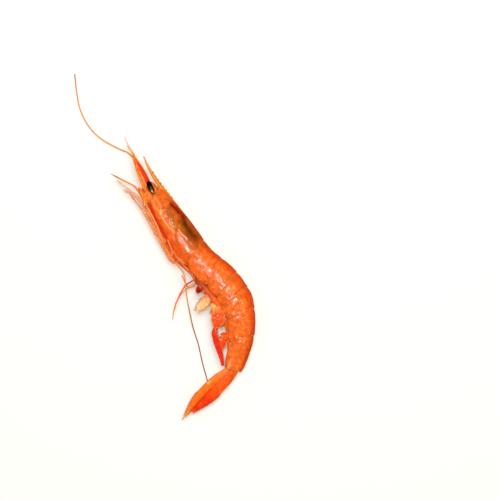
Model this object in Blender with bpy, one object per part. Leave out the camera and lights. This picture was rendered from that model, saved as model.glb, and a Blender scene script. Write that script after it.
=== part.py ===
"""A whole raw red shrimp that lies on its right side, with its left side up.

Sizes are in millimetres and become metres when a mesh is made. The body is
measured along a curved line from the eyes to the tail: s runs along that line,
d points to the back, and w to the shrimp's left, which is up as it lies.
"""
import math

import bpy
import numpy as np

MM = 0.001

# The body line as it lies: where it starts, and its heading at stations along it.
LINE_START = (-49.4, 27.0)
LINE_STATIONS = (0, 30, 40, 50, 60, 70, 80, 90, 104)
LINE_HEADINGS = (-57.5, -54.1, -44.7, -42.2, -53.4, -70.0, -82.9, -100.1, -107.8)
LINE_REACH = (-95.0, 125.0)
LINE_STEP = 0.25
TAIL_LINE_END = 104.7
FAN_HEADING = -135.0
FAN_LENGTH = 34.5
FAN_DROP = 1.6

# The trunk's section at stations: reach to the back and to the belly, half width, and height.
STATIONS = (-2, 6, 16, 27, 34, 40, 46, 53, 62, 68, 75, 84, 94, 105)
REACH_BACK = (5.9, 7.2, 8.3, 8.9, 8.6, 8.2, 8.6, 9.1, 9.3, 9.5, 8.5, 7.2, 6.0, 4.7)
REACH_BELLY = (4.6, 6.3, 7.6, 9.2, 9.2, 8.8, 9.1, 8.8, 9.2, 9.0, 8.4, 7.4, 6.5, 4.9)
HALF_WIDTH = (4.2, 5.6, 6.6, 7.1, 7.1, 6.9, 6.8, 6.7, 6.6, 6.4, 6.1, 5.5, 4.7, 3.9)
HEIGHT = (6.9, 7.0, 7.0, 7.0, 7.0, 6.8, 6.7, 6.6, 6.5, 6.3, 6.0, 5.5, 4.9, 4.3)

# The outline of a section, as powers of its superellipse, and the trough between the side plates.
ROUND_BACK = 2.1
ROUND_BELLY = 2.6
TROUGH_FLAT = 20.0
TROUGH_EDGE = 38.0
TROUGH_STATIONS = (0, 12, 30, 44, 88, 100)
TROUGH_DEPTH = (0.4, 3.0, 3.0, 2.0, 2.0, 0.3)
TROUGH_WIDEN = 14.0
ANGLES = 26

# The shell: rear edge of each plate at the back, and how far its belly end trails behind.
CARAPACE_FRONT = -2.0
CARAPACE_FRONT_SLANT = 1.9
PLATE_REAR = (32.6, 47.3, 57.0, 64.8, 74.0, 86.0, 104.7)
PLATE_SLANT = (5.6, 4.6, 3.8, 2.8, 2.4, 4.6, 0.4)
CORNER = 1.1
CORNER_REACH = 3.0
CARAPACE_ROWS = 12
ROW_LENGTH = 2.9

# The rounded face in front of the head shield, a plate's thin rear lip with the hollow inside it,
# and the neck that tucks into the plate before. Each is a row of rings: how far behind the edge
# a ring is, and how deep below the shell's outer surface.
FACE = ((-1.6, 3.3), (-1.2, 2.2), (-0.3, 1.2), (0.3, 0.8), (0.0, 0.5), (0.0, 0.15), (0.4, 0.0))
LIP = ((-0.9, -0.05), (-0.15, -0.05), (0.0, 0.06), (0.0, 0.26), (-2.1, 0.4))
NECK = ((-1.2, 1.25), (0.0, 0.88), (0.7, 0.52), (2.0, 0.08))

# The beak: its middle line, half depth and half thickness at stations, and the teeth on its back.
ROSTRUM_STATIONS = (-21.6, -17.2, -12.4, -7.5, -3.4, 1.0, 8.0, 14.0)
ROSTRUM_LINE = (6.7, 5.9, 5.55, 5.45, 5.6, 5.9, 6.4, 7.0)
ROSTRUM_DEPTH = (0.2, 0.55, 0.8, 1.0, 1.15, 1.35, 1.5, 1.3)
ROSTRUM_THICK = (0.15, 0.35, 0.5, 0.65, 0.8, 0.9, 0.7, 0.3)
ROSTRUM_TEETH = 8
TOOTH_PITCH = 2.3
TOOTH_HEIGHT = 0.45
TOOTH_FACE = 0.08
TOOTH_FOOT = 1.0
LAST_TOOTH = 4.0
TIP_RINGS = 4

# Eyes, on short stalks.
EYE_MIDDLE = (-5.4, 1.45, 5.15)
EYE_HALF_LENGTH = 3.6
EYE_HALF_WIDTH = 1.75
EYE_BEND = 0.25
EYE_SKEW = 0.3
EYE_POLE = 10.8
STALK_ROUTE = ((-3.7, 3.6, 1.4), (-4.0, 3.4, 3.0), (-4.8, 2.2, 4.6))
STALK_RADIUS = 0.75

# Flat blades beside the feelers.
SCALE_ROUTE = ((-3.2, -1.3, 2.7), (-9.0, 0.0, 3.1), (-16.0, 1.1, 3.6), (-24.6, 2.3, 4.0))
SCALE_HALF_WIDTH = (1.0, 2.35, 2.2, 1.5, 0.3)
SCALE_HALF_THICK = (0.45, 0.45, 0.4, 0.3, 0.15)
SCALE_TILT = 14.0

# Limbs of the left side, from the trunk outwards; the right ones mirror them.
ANTENNULE = (
    (-3.9, 1.0, 0.95), (-10.7, 1.0, 1.0), (-19.0, 2.2, 1.3), (-25.5, 2.7, 1.5),
    (-30.4, 2.7, 1.2), (-35.6, 3.2, 0.8),
)
ANTENNULE_RADIUS = (0.75, 0.75, 0.5, 0.35, 0.22, 0.12)
ANTENNA_LEFT = (
    (-1.7, -3.9, 2.9), (-5.6, -3.9, 3.1), (-8.2, -4.0, 4.5), (-6.0, -4.3, 5.8), (-0.1, -5.4, 5.9),
    (5.8, -6.9, 5.6), (12.6, -7.8, 5.4), (20.6, -8.9, 5.2), (28.1, -9.9, 5.1), (33.6, -10.1, 5.0),
    (37.3, -10.2, 5.0), (40.6, -11.6, 5.0), (44.3, -15.0, 4.8), (49.1, -19.4, 3.0),
    (56.0, -22.6, 0.4), (64.7, -24.4, -2.4), (80.0, -24.8, -4.4), (96.0, -21.2, -4.0),
    (107.0, -15.9, -3.6), (112.1, -12.6, -3.9), (116.6, -9.6, -4.0),
)
ANTENNA_RIGHT = (
    (-1.7, -3.9, -2.9), (-5.6, -3.7, -4.6), (-11.3, -0.9, -5.4), (-18.4, 0.9, -5.2),
    (-23.7, 1.5, -5.2), (-28.0, 0.6, -5.4), (-31.3, -1.6, -5.5), (-36.3, -4.6, -5.7),
    (-41.7, -7.3, -5.8), (-47.7, -9.0, -6.0), (-54.1, -9.3, -6.1), (-61.0, -8.3, -6.2),
    (-69.0, -5.2, -6.2), (-78.0, -0.8, -6.2),
)
FEELER_RADIUS = (1.05, 0.5, 0.34, 0.2)
FEELER_STATIONS = (0.0, 9.0, 20.0, 110.0)

MAXILLIPED = (
    (9.0, -5.4, 0.75), (10.2, -6.6, 0.75), (8.2, -7.2, 0.75), (3.0, -6.5, 0.75),
    (-2.7, -4.8, 0.9), (-10.2, -5.3, 1.2), (-22.0, -12.2, 0.6),
)
LEG_1 = (
    (18.5, -6.3, 2.2), (22.5, -7.9, 2.9), (20.8, -8.5, 3.65), (12.9, -6.9, 3.65), (2.7, -5.7, 3.4),
    (-4.5, -6.5, 3.0), (-10.5, -8.8, 2.6), (-17.8, -11.5, 1.8),
)
LEG_2 = (
    (25.5, -7.3, 2.2), (29.8, -9.0, 2.3), (28.4, -10.1, 2.3), (19.7, -9.2, 2.2), (9.5, -7.8, 2.2),
    (0.6, -7.1, 2.15), (-5.8, -7.8, 2.0), (-11.8, -11.6, 1.4),
)
LEG_3 = (
    (30.5, -7.5, 1.4), (33.7, -9.2, 1.1), (32.4, -11.3, 0.75), (24.3, -10.5, 0.75),
    (16.6, -9.8, 0.75), (8.5, -8.9, 0.75), (0.9, -8.6, 0.75), (-5.0, -9.3, 0.7), (-10.8, -9.3, 0.6),
)
LEG_4 = (
    (33.6, -7.8, 2.6), (40.0, -7.8, 2.6), (45.0, -8.6, 2.8), (43.5, -14.4, 3.4), (44.7, -20.0, 2.8),
    (46.2, -24.9, 2.0), (48.2, -29.2, 1.2), (51.0, -32.3, 0.8),
)
LEG_4_RIGHT = (
    (33.6, -7.8, -2.6), (40.0, -7.8, -2.6), (46.4, -8.8, -2.8), (46.9, -12.2, -3.0),
    (45.0, -15.4, -3.2), (44.9, -20.0, -2.8), (46.2, -24.9, -2.2), (48.2, -28.6, -1.6),
)
LEG_5 = (
    (36.2, -7.5, 0.8), (42.0, -7.8, 0.8), (45.6, -8.8, 0.9), (45.9, -11.5, 1.0), (44.8, -14.6, 1.2),
    (42.9, -13.9, 1.3), (38.6, -12.0, 1.2),
)
LEG_RADIUS = 0.55
CLAW_RADIUS = 0.25
CLAW_TIP = 0.5
LEG_SIDES = 6
STOUT_ROOT = 1.5
KNEE_BLEND = 1.6
RIGHT_SLIP = (-1.4, -0.6)

# A leg's thickness along each straight length, as parts of its length and of its radius.
LENGTH_PROFILE = ((0.0, 1.12), (0.22, 0.92), (0.78, 1.0))

# Swimming legs under the tail: the stem's root and end, then the outer branch's bend and tip.
# Each has its own breadths, and an inner branch that reaches a part of the outer one's way.
PLEOPODS = (
    ((49.6, -7.7, 2.0), (49.9, -9.9, 2.4), (50.5, -11.2, 3.1), (51.8, -12.2, 3.6)),
    ((57.0, -7.9, 2.0), (57.4, -10.6, 2.4), (59.4, -15.0, 3.0), (61.0, -19.6, 3.2)),
    ((63.8, -8.8, 2.0), (66.0, -11.0, 2.5), (71.5, -10.4, 4.9), (81.0, -12.4, 5.3)),
    ((72.2, -7.8, 2.0), (74.8, -10.8, 2.1), (84.0, -13.5, 3.3), (104.3, -5.6, 3.2)),
    ((87.0, -6.9, 1.8), (88.4, -9.6, 2.2), (91.8, -9.3, 2.4), (95.8, -9.3, 2.2)),
)
STEM_BREADTH = (1.5, 1.5, 1.45, 0.95, 1.35)
BRANCH_BREADTH = (1.25, 2.2, 2.0, 0.95, 1.4)
STEM_HALF_WIDTH = (1.5, 2.0, 1.7)
STEM_HALF_THICK = (0.7, 0.85, 0.8)
BRANCH_HALF_WIDTH = (0.9, 1.5, 1.6, 0.7)
BRANCH_HALF_THICK = (0.45, 0.4, 0.3, 0.12)
KNUCKLE = 0.22
INNER_BRANCH = (0.5, 0.5, 0.35, 0.22, 0.5)
INNER_DROP = 1.0

# The tail fan, in its own frame.
TELSON_ROUTE = ((-1.9, 1.5, 0.0), (2.5, 2.8, 0.0), (10.0, 3.6, 0.0), (23.0, 3.5, 0.0))
TELSON_HALF_WIDTH = (1.5, 1.6, 1.2, 0.2)
TELSON_HALF_THICK = (0.9, 0.85, 0.6, 0.15)
ENDOPOD_ROUTE = ((-0.9, 0.3, 2.1), (12.0, 1.9, 2.6), (22.0, 1.5, 2.6), (30.5, 0.6, 2.4))
ENDOPOD_HALF_WIDTH = (1.0, 2.3, 2.6, 1.9, 0.5)
EXOPOD_ROUTE = ((0.2, -1.8, 1.3), (12.0, -2.3, 1.5), (24.0, -2.1, 1.6), (34.5, -0.6, 1.6))
EXOPOD_HALF_WIDTH = (0.9, 2.4, 2.7, 2.2, 0.4)
FAN_HALF_THICK = (0.5, 0.42, 0.36, 0.3, 0.15)
TELSON_TILT = 90.0
ENDOPOD_TILT = 8.0
EXOPOD_TILT = 6.0

SHARP_EDGE = 50.0

SHELL_ORANGE = (0.85, 0.27, 0.08)
SHELL_RED = (0.75, 0.12, 0.04)
GOLD = (0.80, 0.42, 0.10)
PINK_LEG = (0.85, 0.38, 0.22)
EYE_BROWN = (0.03, 0.012, 0.006)


def smooth(at, stations, values):
    """A smooth curve through values at stations, level beyond the first and the last."""
    at = np.asarray(at, float)
    stations = np.asarray(stations, float)
    values = np.asarray(values, float)
    slopes = np.gradient(values, stations)
    k = np.clip(np.searchsorted(stations, at) - 1, 0, len(stations) - 2)
    span = stations[k + 1] - stations[k]
    t = np.clip((at - stations[k]) / span, 0.0, 1.0)
    start = values[k] * (1 + 2 * t) * (1 - t) ** 2
    end = values[k + 1] * t * t * (3 - 2 * t)
    bend = span * (slopes[k] * t * (1 - t) ** 2 - slopes[k + 1] * t * t * (1 - t))
    return start + end + bend


def body_line():
    """Stations, places and headings along the body line, straight on ahead of the eyes."""
    s = np.arange(*LINE_REACH, LINE_STEP)
    heading = np.radians(np.interp(s, LINE_STATIONS, LINE_HEADINGS))
    x = np.cumsum(np.cos(heading)) * LINE_STEP
    y = np.cumsum(np.sin(heading)) * LINE_STEP
    x += LINE_START[0] - np.interp(0.0, s, x)
    y += LINE_START[1] - np.interp(0.0, s, y)
    return s, x, y, heading


LINE_S, LINE_X, LINE_Y, LINE_TURN = body_line()


def on_body(points):
    """World places, in millimetres, of points given as s, d and w."""
    s, d, w = np.moveaxis(np.asarray(points, float), -1, 0)
    turn = np.interp(s, LINE_S, LINE_TURN)
    x = np.interp(s, LINE_S, LINE_X) - np.sin(turn) * d
    y = np.interp(s, LINE_S, LINE_Y) + np.cos(turn) * d
    z = smooth(s, STATIONS, HEIGHT) + w
    return np.stack([x, y, z], axis=-1)


def on_fan(points):
    """World places of points of the tail fan, given as s along it, d and w."""
    s, d, w = np.moveaxis(np.asarray(points, float), -1, 0)
    root = on_body((TAIL_LINE_END, 0.0, 0.0))
    turn = math.radians(FAN_HEADING)
    x = root[0] + np.cos(turn) * s - np.sin(turn) * d
    y = root[1] + np.sin(turn) * s + np.cos(turn) * d
    z = root[2] - FAN_DROP * np.clip(s / FAN_LENGTH, 0.0, 1.0) + w
    return np.stack([x, y, z], axis=-1)


def outline(angle, back, belly, half, trough, inset):
    """The trunk's outline, as d and w, at angles from the middle of the back."""
    up = np.cos(angle)
    side = np.sin(angle)
    power = 2.0 / np.where(up > 0, ROUND_BACK, ROUND_BELLY)
    d = np.where(up > 0, back, belly) * np.sign(up) * np.abs(up) ** power
    w = half * np.sign(side) * np.abs(side) ** power
    from_belly = np.abs(np.degrees(np.pi - angle))
    edge = TROUGH_EDGE + TROUGH_WIDEN * inset
    rise = np.clip((edge - from_belly) / (TROUGH_EDGE - TROUGH_FLAT), 0.0, 1.0)
    return d + trough * rise * rise * (3 - 2 * rise), w


ANGLE = np.arange(ANGLES) * 2 * np.pi / ANGLES
BELLYWARD = (1 - np.cos(ANGLE)) / 2


def hoop(s, inset, edge_distance=CORNER_REACH):
    """One ring round the trunk at stations s, set in from the outer surface.

    Near a plate's edge the belly ends of the plate draw in, which rounds their corners.
    """
    s = s + np.zeros(ANGLES)
    near = np.clip(1 - edge_distance / CORNER_REACH, 0.0, 1.0) ** 2
    back = smooth(s, STATIONS, REACH_BACK) - inset
    belly = smooth(s, STATIONS, REACH_BELLY) - inset - CORNER * near
    half = smooth(s, STATIONS, HALF_WIDTH) - inset
    trough = np.interp(s, TROUGH_STATIONS, TROUGH_DEPTH)
    d, w = outline(ANGLE, back, belly, half, trough, inset)
    ring = on_body(np.stack([s, d, w], axis=-1))
    ring[:, 2] = np.maximum(ring[:, 2], 0.0)
    return ring


def finish(name, points, faces, colour, roughness=0.3):
    """A named object of one closed mesh, its faces turned out, with its own material."""
    points = np.asarray(points) * MM
    fan = [(face[0], face[i], face[i + 1]) for face in faces for i in range(1, len(face) - 1)]
    corner = points[np.array(fan)]
    volume = np.einsum("ij,ij->i", corner[:, 0], np.cross(corner[:, 1], corner[:, 2])).sum()
    if volume < 0:
        faces = [face[::-1] for face in faces]
    mesh = bpy.data.meshes.new(name)
    mesh.from_pydata(points.tolist(), [], faces)
    mesh.shade_smooth()
    mesh.set_sharp_from_angle(angle=math.radians(SHARP_EDGE))
    mesh.materials.append(coating(name, colour, roughness))
    thing = bpy.data.objects.new(name, mesh)
    bpy.context.scene.collection.objects.link(thing)
    return thing


def coating(name, colour, roughness):
    """A plain glossy material for one object."""
    material = bpy.data.materials.new(name)
    material.use_nodes = True
    shader = material.node_tree.nodes["Principled BSDF"]
    shader.inputs["Base Color"].default_value = (*colour, 1.0)
    shader.inputs["Roughness"].default_value = roughness
    shader.inputs["Metallic"].default_value = 0.0
    return material


def skin(rings):
    """Points and faces of a closed body through rings of equal count, with a point at each end."""
    rings = np.asarray(rings)
    count, sides = rings.shape[:2]
    points = np.concatenate([rings.reshape(-1, 3), [rings[0].mean(axis=0)], [rings[-1].mean(axis=0)]])
    faces = []
    for row in range(count - 1):
        for i in range(sides):
            j = (i + 1) % sides
            here = row * sides
            faces.append((here + i, here + j, here + sides + j, here + sides + i))
    first = count * sides
    last = first + 1
    end = (count - 1) * sides
    for i in range(sides):
        j = (i + 1) % sides
        faces.append((first, j, i))
        faces.append((last, end + i, end + j))
    return points, faces


def tube(path, radius, sides):
    """Rings of given radius round a path, turned along with it without twist."""
    path = np.asarray(path)
    along = np.gradient(path, axis=0)
    along /= np.linalg.norm(along, axis=1)[:, None]
    across = np.cross(along[0], (0.0, 0.0, 1.0))
    turn = np.arange(sides) * 2 * np.pi / sides
    rings = []
    for here, ahead, size in zip(path, along, radius):
        across = across - ahead * (across @ ahead)
        across /= np.linalg.norm(across)
        over = np.cross(ahead, across)
        rings.append(here + size * (np.outer(np.cos(turn), across) + np.outer(np.sin(turn), over)))
    return rings


def blade(frame, route, half_width, half_thick, tilt, sides=8):
    """Rings of a flat blade along a route of the given frame, its flat face turned by tilt."""
    route = np.asarray(route, float)
    along = np.gradient(route, axis=0)
    along /= np.linalg.norm(along, axis=1)[:, None]
    face = np.array((0.0, math.sin(tilt), math.cos(tilt)))
    turn = np.arange(sides) * 2 * np.pi / sides
    rings = []
    for here, ahead, wide, thick in zip(route, along, half_width, half_thick):
        across = np.cross(face, ahead)
        across /= np.linalg.norm(across)
        rings.append(frame(here + np.outer(np.cos(turn) * wide, across) + np.outer(np.sin(turn) * thick, face)))
    return rings


def through(route, count):
    """Evenly spaced points on a smooth curve through a route's points."""
    route = np.asarray(route, float)
    reach = np.concatenate([[0.0], np.cumsum(np.linalg.norm(np.diff(route, axis=0), axis=1))])
    at = np.linspace(0.0, reach[-1], count)
    return np.stack([smooth(at, reach, route[:, axis]) for axis in range(3)], axis=-1)


def mirrored(route, slip=(0.0, 0.0)):
    """The same route on the right side, moved a little along s and d, as live limbs never match."""
    ease = [min(1.0, 0.5 * step) for step in range(len(route))]
    return [(s + part * slip[0], d + part * slip[1], -w) for part, (s, d, w) in zip(ease, route)]


def place_tube(name, route, radius, colour, count, sides):
    """A tapering feeler along a smooth route of the body, its radius given at even parts of it."""
    path = through(on_body(route), count)
    size = smooth(np.linspace(0.0, 1.0, count), np.linspace(0.0, 1.0, len(radius)), radius)
    return finish(name, *skin(tube(path, size, sides)), colour)


def feeler(name, route, count):
    """A long whip on a stout root."""
    path = through(on_body(route), count)
    steps = np.linalg.norm(np.diff(path, axis=0), axis=1)
    reach = np.concatenate([[0.0], np.cumsum(steps)])
    size = np.interp(reach, FEELER_STATIONS, FEELER_RADIUS)
    return finish(name, *skin(tube(path, size, LEG_SIDES)), SHELL_RED)


def limb(name, route, colour, root=1.0):
    """A jointed leg: straight lengths between knees, each waisted behind its knee.

    The first length starts thicker than the rest by the factor root.
    """
    knees = on_body(route)
    reach = np.concatenate([[0.0], np.cumsum(np.linalg.norm(np.diff(knees, axis=0), axis=1))])
    length = reach[-1]
    part, swell = np.array(LENGTH_PROFILE).T
    at = np.append((reach[:-1, None] + np.diff(reach)[:, None] * part).ravel(), length)
    swell = np.append(np.tile(swell, len(knees) - 1), CLAW_TIP)
    swell *= np.interp(np.arange(len(swell)), (0, 2), (root, 1.0))
    offsets = np.linspace(-0.5, 0.5, 9) * KNEE_BLEND
    near = np.clip(at[:, None] + offsets, 0.0, length)
    path = np.stack([np.interp(near, reach, knees[:, axis]).mean(axis=1) for axis in range(3)], axis=-1)
    size = swell * (LEG_RADIUS + (CLAW_RADIUS - LEG_RADIUS) * at / length)
    return finish(name, *skin(tube(path, size, LEG_SIDES)), colour)


def leaf(name, frame, route, half_width, half_thick, tilt, colour, count=9, sides=8):
    """A flat blade along a smooth route of the given frame."""
    path = through(route, count)
    even = np.linspace(0.0, 1.0, count)
    wide = smooth(even, np.linspace(0.0, 1.0, len(half_width)), half_width)
    thick = smooth(even, np.linspace(0.0, 1.0, len(half_thick)), half_thick)
    rings = blade(frame, path, wide, thick, math.radians(tilt), sides)
    return finish(name, *skin(rings), colour)


def fuse(thing, *others, solver="EXACT"):
    """Joins other closed bodies to the first by Boolean union, then drops them."""
    for other in others:
        union = thing.modifiers.new("union", "BOOLEAN")
        union.operation = "UNION"
        union.solver = solver
        union.object = other
    depsgraph = bpy.context.evaluated_depsgraph_get()
    mesh = bpy.data.meshes.new_from_object(thing.evaluated_get(depsgraph))
    thing.modifiers.clear()
    thing.data = mesh
    for other in others:
        bpy.data.objects.remove(other)
    return thing


def rear_edge(index):
    """Stations of a plate's rear edge, one for each angle round the trunk."""
    return PLATE_REAR[index] + PLATE_SLANT[index] * BELLYWARD


def between(first, last, rows):
    """Stations evenly spaced between two edges, without the edges."""
    return [first + (last - first) * row / (rows + 1) for row in range(1, rows + 1)]


def lip_rings(rear, square=0.0):
    """The thin rear edge of a plate and the hollow inside it, which takes the next plate.

    A square edge, by that distance, has no rounded corners at the belly.
    """
    return [hoop(rear + ahead, inset, square - ahead) for ahead, inset in LIP]


def carapace():
    """The head shield, with a blunt face in front, and the beak that grows from its back."""
    front = CARAPACE_FRONT + CARAPACE_FRONT_SLANT * BELLYWARD
    rear = rear_edge(0)
    rings = [hoop(front + ahead, inset) for ahead, inset in FACE]
    for here in between(front + FACE[-1][0], rear + LIP[0][0], CARAPACE_ROWS):
        rings.append(hoop(here, 0.0, rear - here))
    rings += lip_rings(rear)
    shield = finish("carapace", *skin(rings), SHELL_ORANGE)
    return fuse(shield, rostrum())


def rostrum():
    """The beak: a thin upright blade with a row of saw teeth along its back."""
    first = ROSTRUM_STATIONS[0]
    last = ROSTRUM_STATIONS[-1]
    tips = LAST_TOOTH - TOOTH_PITCH * np.arange(ROSTRUM_TEETH)
    plain = np.linspace(first, tips[-1] - TOOTH_PITCH, TIP_RINGS)
    s = np.concatenate([tips, tips - TOOTH_FACE, tips + TOOTH_FOOT, plain, [(tips[0] + last) / 2, last]])
    s.sort()
    middle = smooth(s, ROSTRUM_STATIONS, ROSTRUM_LINE)
    depth = smooth(s, ROSTRUM_STATIONS, ROSTRUM_DEPTH)
    thick = smooth(s, ROSTRUM_STATIONS, ROSTRUM_THICK)
    tooth = TOOTH_HEIGHT * np.isin(s, tips)
    rings = []
    for here, centre, half, side, rise in zip(s, middle, depth, thick, tooth):
        d = centre + np.array((half + rise, 0.5 * half, -0.5 * half, -half, -0.5 * half, 0.5 * half))
        w = side * np.array((0.0, 0.75, 1.0, 0.0, -1.0, -0.75))
        rings.append(on_body(np.stack([np.full(6, here), d, w], axis=-1)))
    return finish("beak", *skin(rings), GOLD)


def tail_plate(index):
    """One ring of the tail: its neck tucks into the plate before, its lip covers the next."""
    before = rear_edge(index - 1)
    rear = rear_edge(index)
    square = CORNER_REACH if index == len(PLATE_REAR) - 1 else 0.0
    rings = [hoop(before + ahead, inset, max(ahead, 0.0)) for ahead, inset in NECK]
    first = before + NECK[-1][0]
    last = rear + LIP[0][0]
    rows = max(1, round((last - first)[0] / ROW_LENGTH))
    for here in between(first, last, rows):
        rings.append(hoop(here, 0.0, np.minimum(here - before, rear - here + square)))
    rings += lip_rings(rear, square)
    return finish(f"abdomen_{index}", *skin(rings), SHELL_ORANGE)


def eye(name, side):
    """A bean-shaped eye on its stalk."""
    s, d, w = EYE_MIDDLE
    even = np.cos(np.radians(np.linspace(180.0 - EYE_POLE, EYE_POLE, 9)))
    path = [(s + EYE_HALF_LENGTH * t, d - EYE_BEND * (1 - t * t) - EYE_SKEW * t, side * w) for t in even]
    size = EYE_HALF_WIDTH * np.sqrt(1 - even * even) ** 0.9
    ball = finish(name, *skin(blade(on_body, path, size, size, 0.0, 10)), EYE_BROWN, 0.15)
    route = [(s, d, side * w) for s, d, w in STALK_ROUTE]
    rings = tube(through(on_body(route), 5), np.full(5, STALK_RADIUS), 8)
    return fuse(ball, finish("stalk", *skin(rings), SHELL_RED))


def pleopod(name, points, stem_breadth, branch_breadth, inner_reach, side):
    """A swimming leg: a stout stem with a long outer and a shorter inner branch."""
    stem_width = stem_breadth * np.array(STEM_HALF_WIDTH)
    branch_width = branch_breadth * np.array(BRANCH_HALF_WIDTH)
    root, end, bend, tip = [np.array((s, d, side * w)) for s, d, w in points]
    down = np.array((0.0, 0.0, -side * INNER_DROP))
    stem = leaf(name, on_body, [root, (root + end) / 2, end], stem_width, STEM_HALF_THICK, 0.0,
                SHELL_RED, 4, 8)
    knuckle = end + KNUCKLE * (root - end)
    outer = leaf("outer", on_body, [knuckle, bend, tip], branch_width, BRANCH_HALF_THICK, 0.0,
                 SHELL_RED, 7, 6)
    inner_tip = knuckle + inner_reach * (tip - knuckle) + down
    inner_bend = knuckle + inner_reach * (bend - knuckle) + down
    inner = leaf("inner", on_body, [knuckle, inner_bend, inner_tip], branch_width,
                 BRANCH_HALF_THICK, 0.0, SHELL_RED, 6, 6)
    return fuse(stem, outer, inner, solver="MANIFOLD")


def head_parts(side, word):
    """Eye, flat blade and small feeler of one side."""
    eye(f"eye_{word}", side)
    route = [(s, d, side * w) for s, d, w in SCALE_ROUTE]
    leaf(f"antennal_scale_{word}", on_body, route, SCALE_HALF_WIDTH, SCALE_HALF_THICK,
         side * SCALE_TILT, SHELL_RED, 10, 8)
    route = [(s, d, side * w) for s, d, w in ANTENNULE]
    place_tube(f"antennule_{word}", route, ANTENNULE_RADIUS, GOLD, 14, LEG_SIDES)


def tail_fan():
    """The telson along the back edge, and a pair of blades on either side of it."""
    leaf("telson", on_fan, TELSON_ROUTE, TELSON_HALF_WIDTH, TELSON_HALF_THICK, TELSON_TILT,
         SHELL_ORANGE)
    for word, side in (("left", 1), ("right", -1)):
        inner = [(s, d, side * w) for s, d, w in ENDOPOD_ROUTE]
        outer = [(s, d, side * w) for s, d, w in EXOPOD_ROUTE]
        leaf(f"uropod_endopod_{word}", on_fan, inner, ENDOPOD_HALF_WIDTH, FAN_HALF_THICK,
             side * ENDOPOD_TILT, SHELL_RED, 10)
        leaf(f"uropod_exopod_{word}", on_fan, outer, EXOPOD_HALF_WIDTH, FAN_HALF_THICK,
             side * EXOPOD_TILT, SHELL_ORANGE, 11)


def walking_legs():
    """Mouth legs and five pairs of walking legs; the right ones lie a little out of step."""
    for word, turn in (("left", tuple), ("right", lambda route: mirrored(route, RIGHT_SLIP))):
        limb(f"maxilliped_{word}", turn(MAXILLIPED), GOLD)
        for number, route in enumerate((LEG_1, LEG_2, LEG_3), start=1):
            limb(f"pereiopod_{number}_{word}", turn(route), PINK_LEG, STOUT_ROOT)
    limb("pereiopod_4_left", LEG_4, PINK_LEG, STOUT_ROOT)
    limb("pereiopod_4_right", LEG_4_RIGHT, GOLD, STOUT_ROOT)
    limb("pereiopod_5_left", LEG_5, PINK_LEG)
    limb("pereiopod_5_right", mirrored(LEG_5), PINK_LEG)


def stand_on_origin():
    """Moves everything so that the middle of the bounding box's underside is the origin."""
    bpy.context.view_layer.update()
    points = np.concatenate([
        np.array([thing.matrix_world @ corner.co for corner in thing.data.vertices])
        for thing in bpy.context.scene.objects
    ])
    low = points.min(axis=0)
    high = points.max(axis=0)
    for thing in bpy.context.scene.objects:
        thing.location.x -= (low[0] + high[0]) / 2
        thing.location.y -= (low[1] + high[1]) / 2
        thing.location.z -= low[2]


def build():
    """The whole shrimp."""
    for thing in list(bpy.data.objects):
        bpy.data.objects.remove(thing)
    carapace()
    for index in range(1, len(PLATE_REAR)):
        tail_plate(index)
    for word, side in (("left", 1), ("right", -1)):
        head_parts(side, word)
        sizes = zip(PLEOPODS, STEM_BREADTH, BRANCH_BREADTH, INNER_BRANCH)
        for number, (points, stem, branch, inner) in enumerate(sizes, start=1):
            pleopod(f"pleopod_{number}_{word}", points, stem, branch, inner, side)
    feeler("antenna_left", ANTENNA_LEFT, 40)
    feeler("antenna_right", ANTENNA_RIGHT, 26)
    walking_legs()
    tail_fan()
    stand_on_origin()


build()
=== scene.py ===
# %% [markdown]
# # A whole raw red shrimp
#
# The shrimp lies on its right side on a pale surface, so its left side is up. Its shape, its
# pieces and their places come from the imported frame. This file gives every piece its fine
# surface: the folds and grooves of the shell, the ringed whiskers, the fringes of hair on the
# swimming legs and the tail fan, and the wet, half clear colours of raw shell over flesh.
#
# The frame is loaded first, and each piece made here hides the solids that it stands for.
# Nothing made here may grow past it.

# %% Load the frame
import math

import bpy
import numpy as np
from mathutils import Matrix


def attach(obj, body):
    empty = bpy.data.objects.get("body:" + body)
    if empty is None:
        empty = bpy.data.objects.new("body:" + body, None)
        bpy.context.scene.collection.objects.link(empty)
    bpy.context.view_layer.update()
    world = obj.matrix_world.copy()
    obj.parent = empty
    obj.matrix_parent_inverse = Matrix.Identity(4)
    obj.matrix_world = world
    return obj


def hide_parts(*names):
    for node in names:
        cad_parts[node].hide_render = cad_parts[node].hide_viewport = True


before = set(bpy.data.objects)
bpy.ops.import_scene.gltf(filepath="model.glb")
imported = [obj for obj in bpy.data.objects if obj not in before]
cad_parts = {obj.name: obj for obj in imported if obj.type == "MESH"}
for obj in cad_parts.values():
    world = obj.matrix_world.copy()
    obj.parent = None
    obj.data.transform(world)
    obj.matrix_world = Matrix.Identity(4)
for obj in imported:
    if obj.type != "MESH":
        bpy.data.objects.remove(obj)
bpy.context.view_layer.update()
MM = 0.001

# %% [markdown]
# ## The body line
#
# A shrimp is a row of hoops on a bent line. Measuring along that line keeps every shape simple:
# s runs from the eyes to the tail, d points to the back and w to the shrimp's left, all in
# millimetres. The line's headings and the hoops' sizes are those that the solids were made
# from, so each fine surface lies where its solid lies.

# %% Sizes of the body line and of the trunk along it
BODY_ZERO = (-4.6062, 24.0915)
LINE_STATIONS = (0, 30, 40, 50, 60, 70, 80, 90, 104)
LINE_HEADINGS = (-57.5, -54.1, -44.7, -42.2, -53.4, -70.0, -82.9, -100.1, -107.8)
LINE_REACH = (-95.0, 125.0)
LINE_STEP = 0.25
TAIL_LINE_END = 104.7
FAN_HEADING = -135.0
FAN_LENGTH = 34.5
FAN_DROP = 1.6

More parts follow.
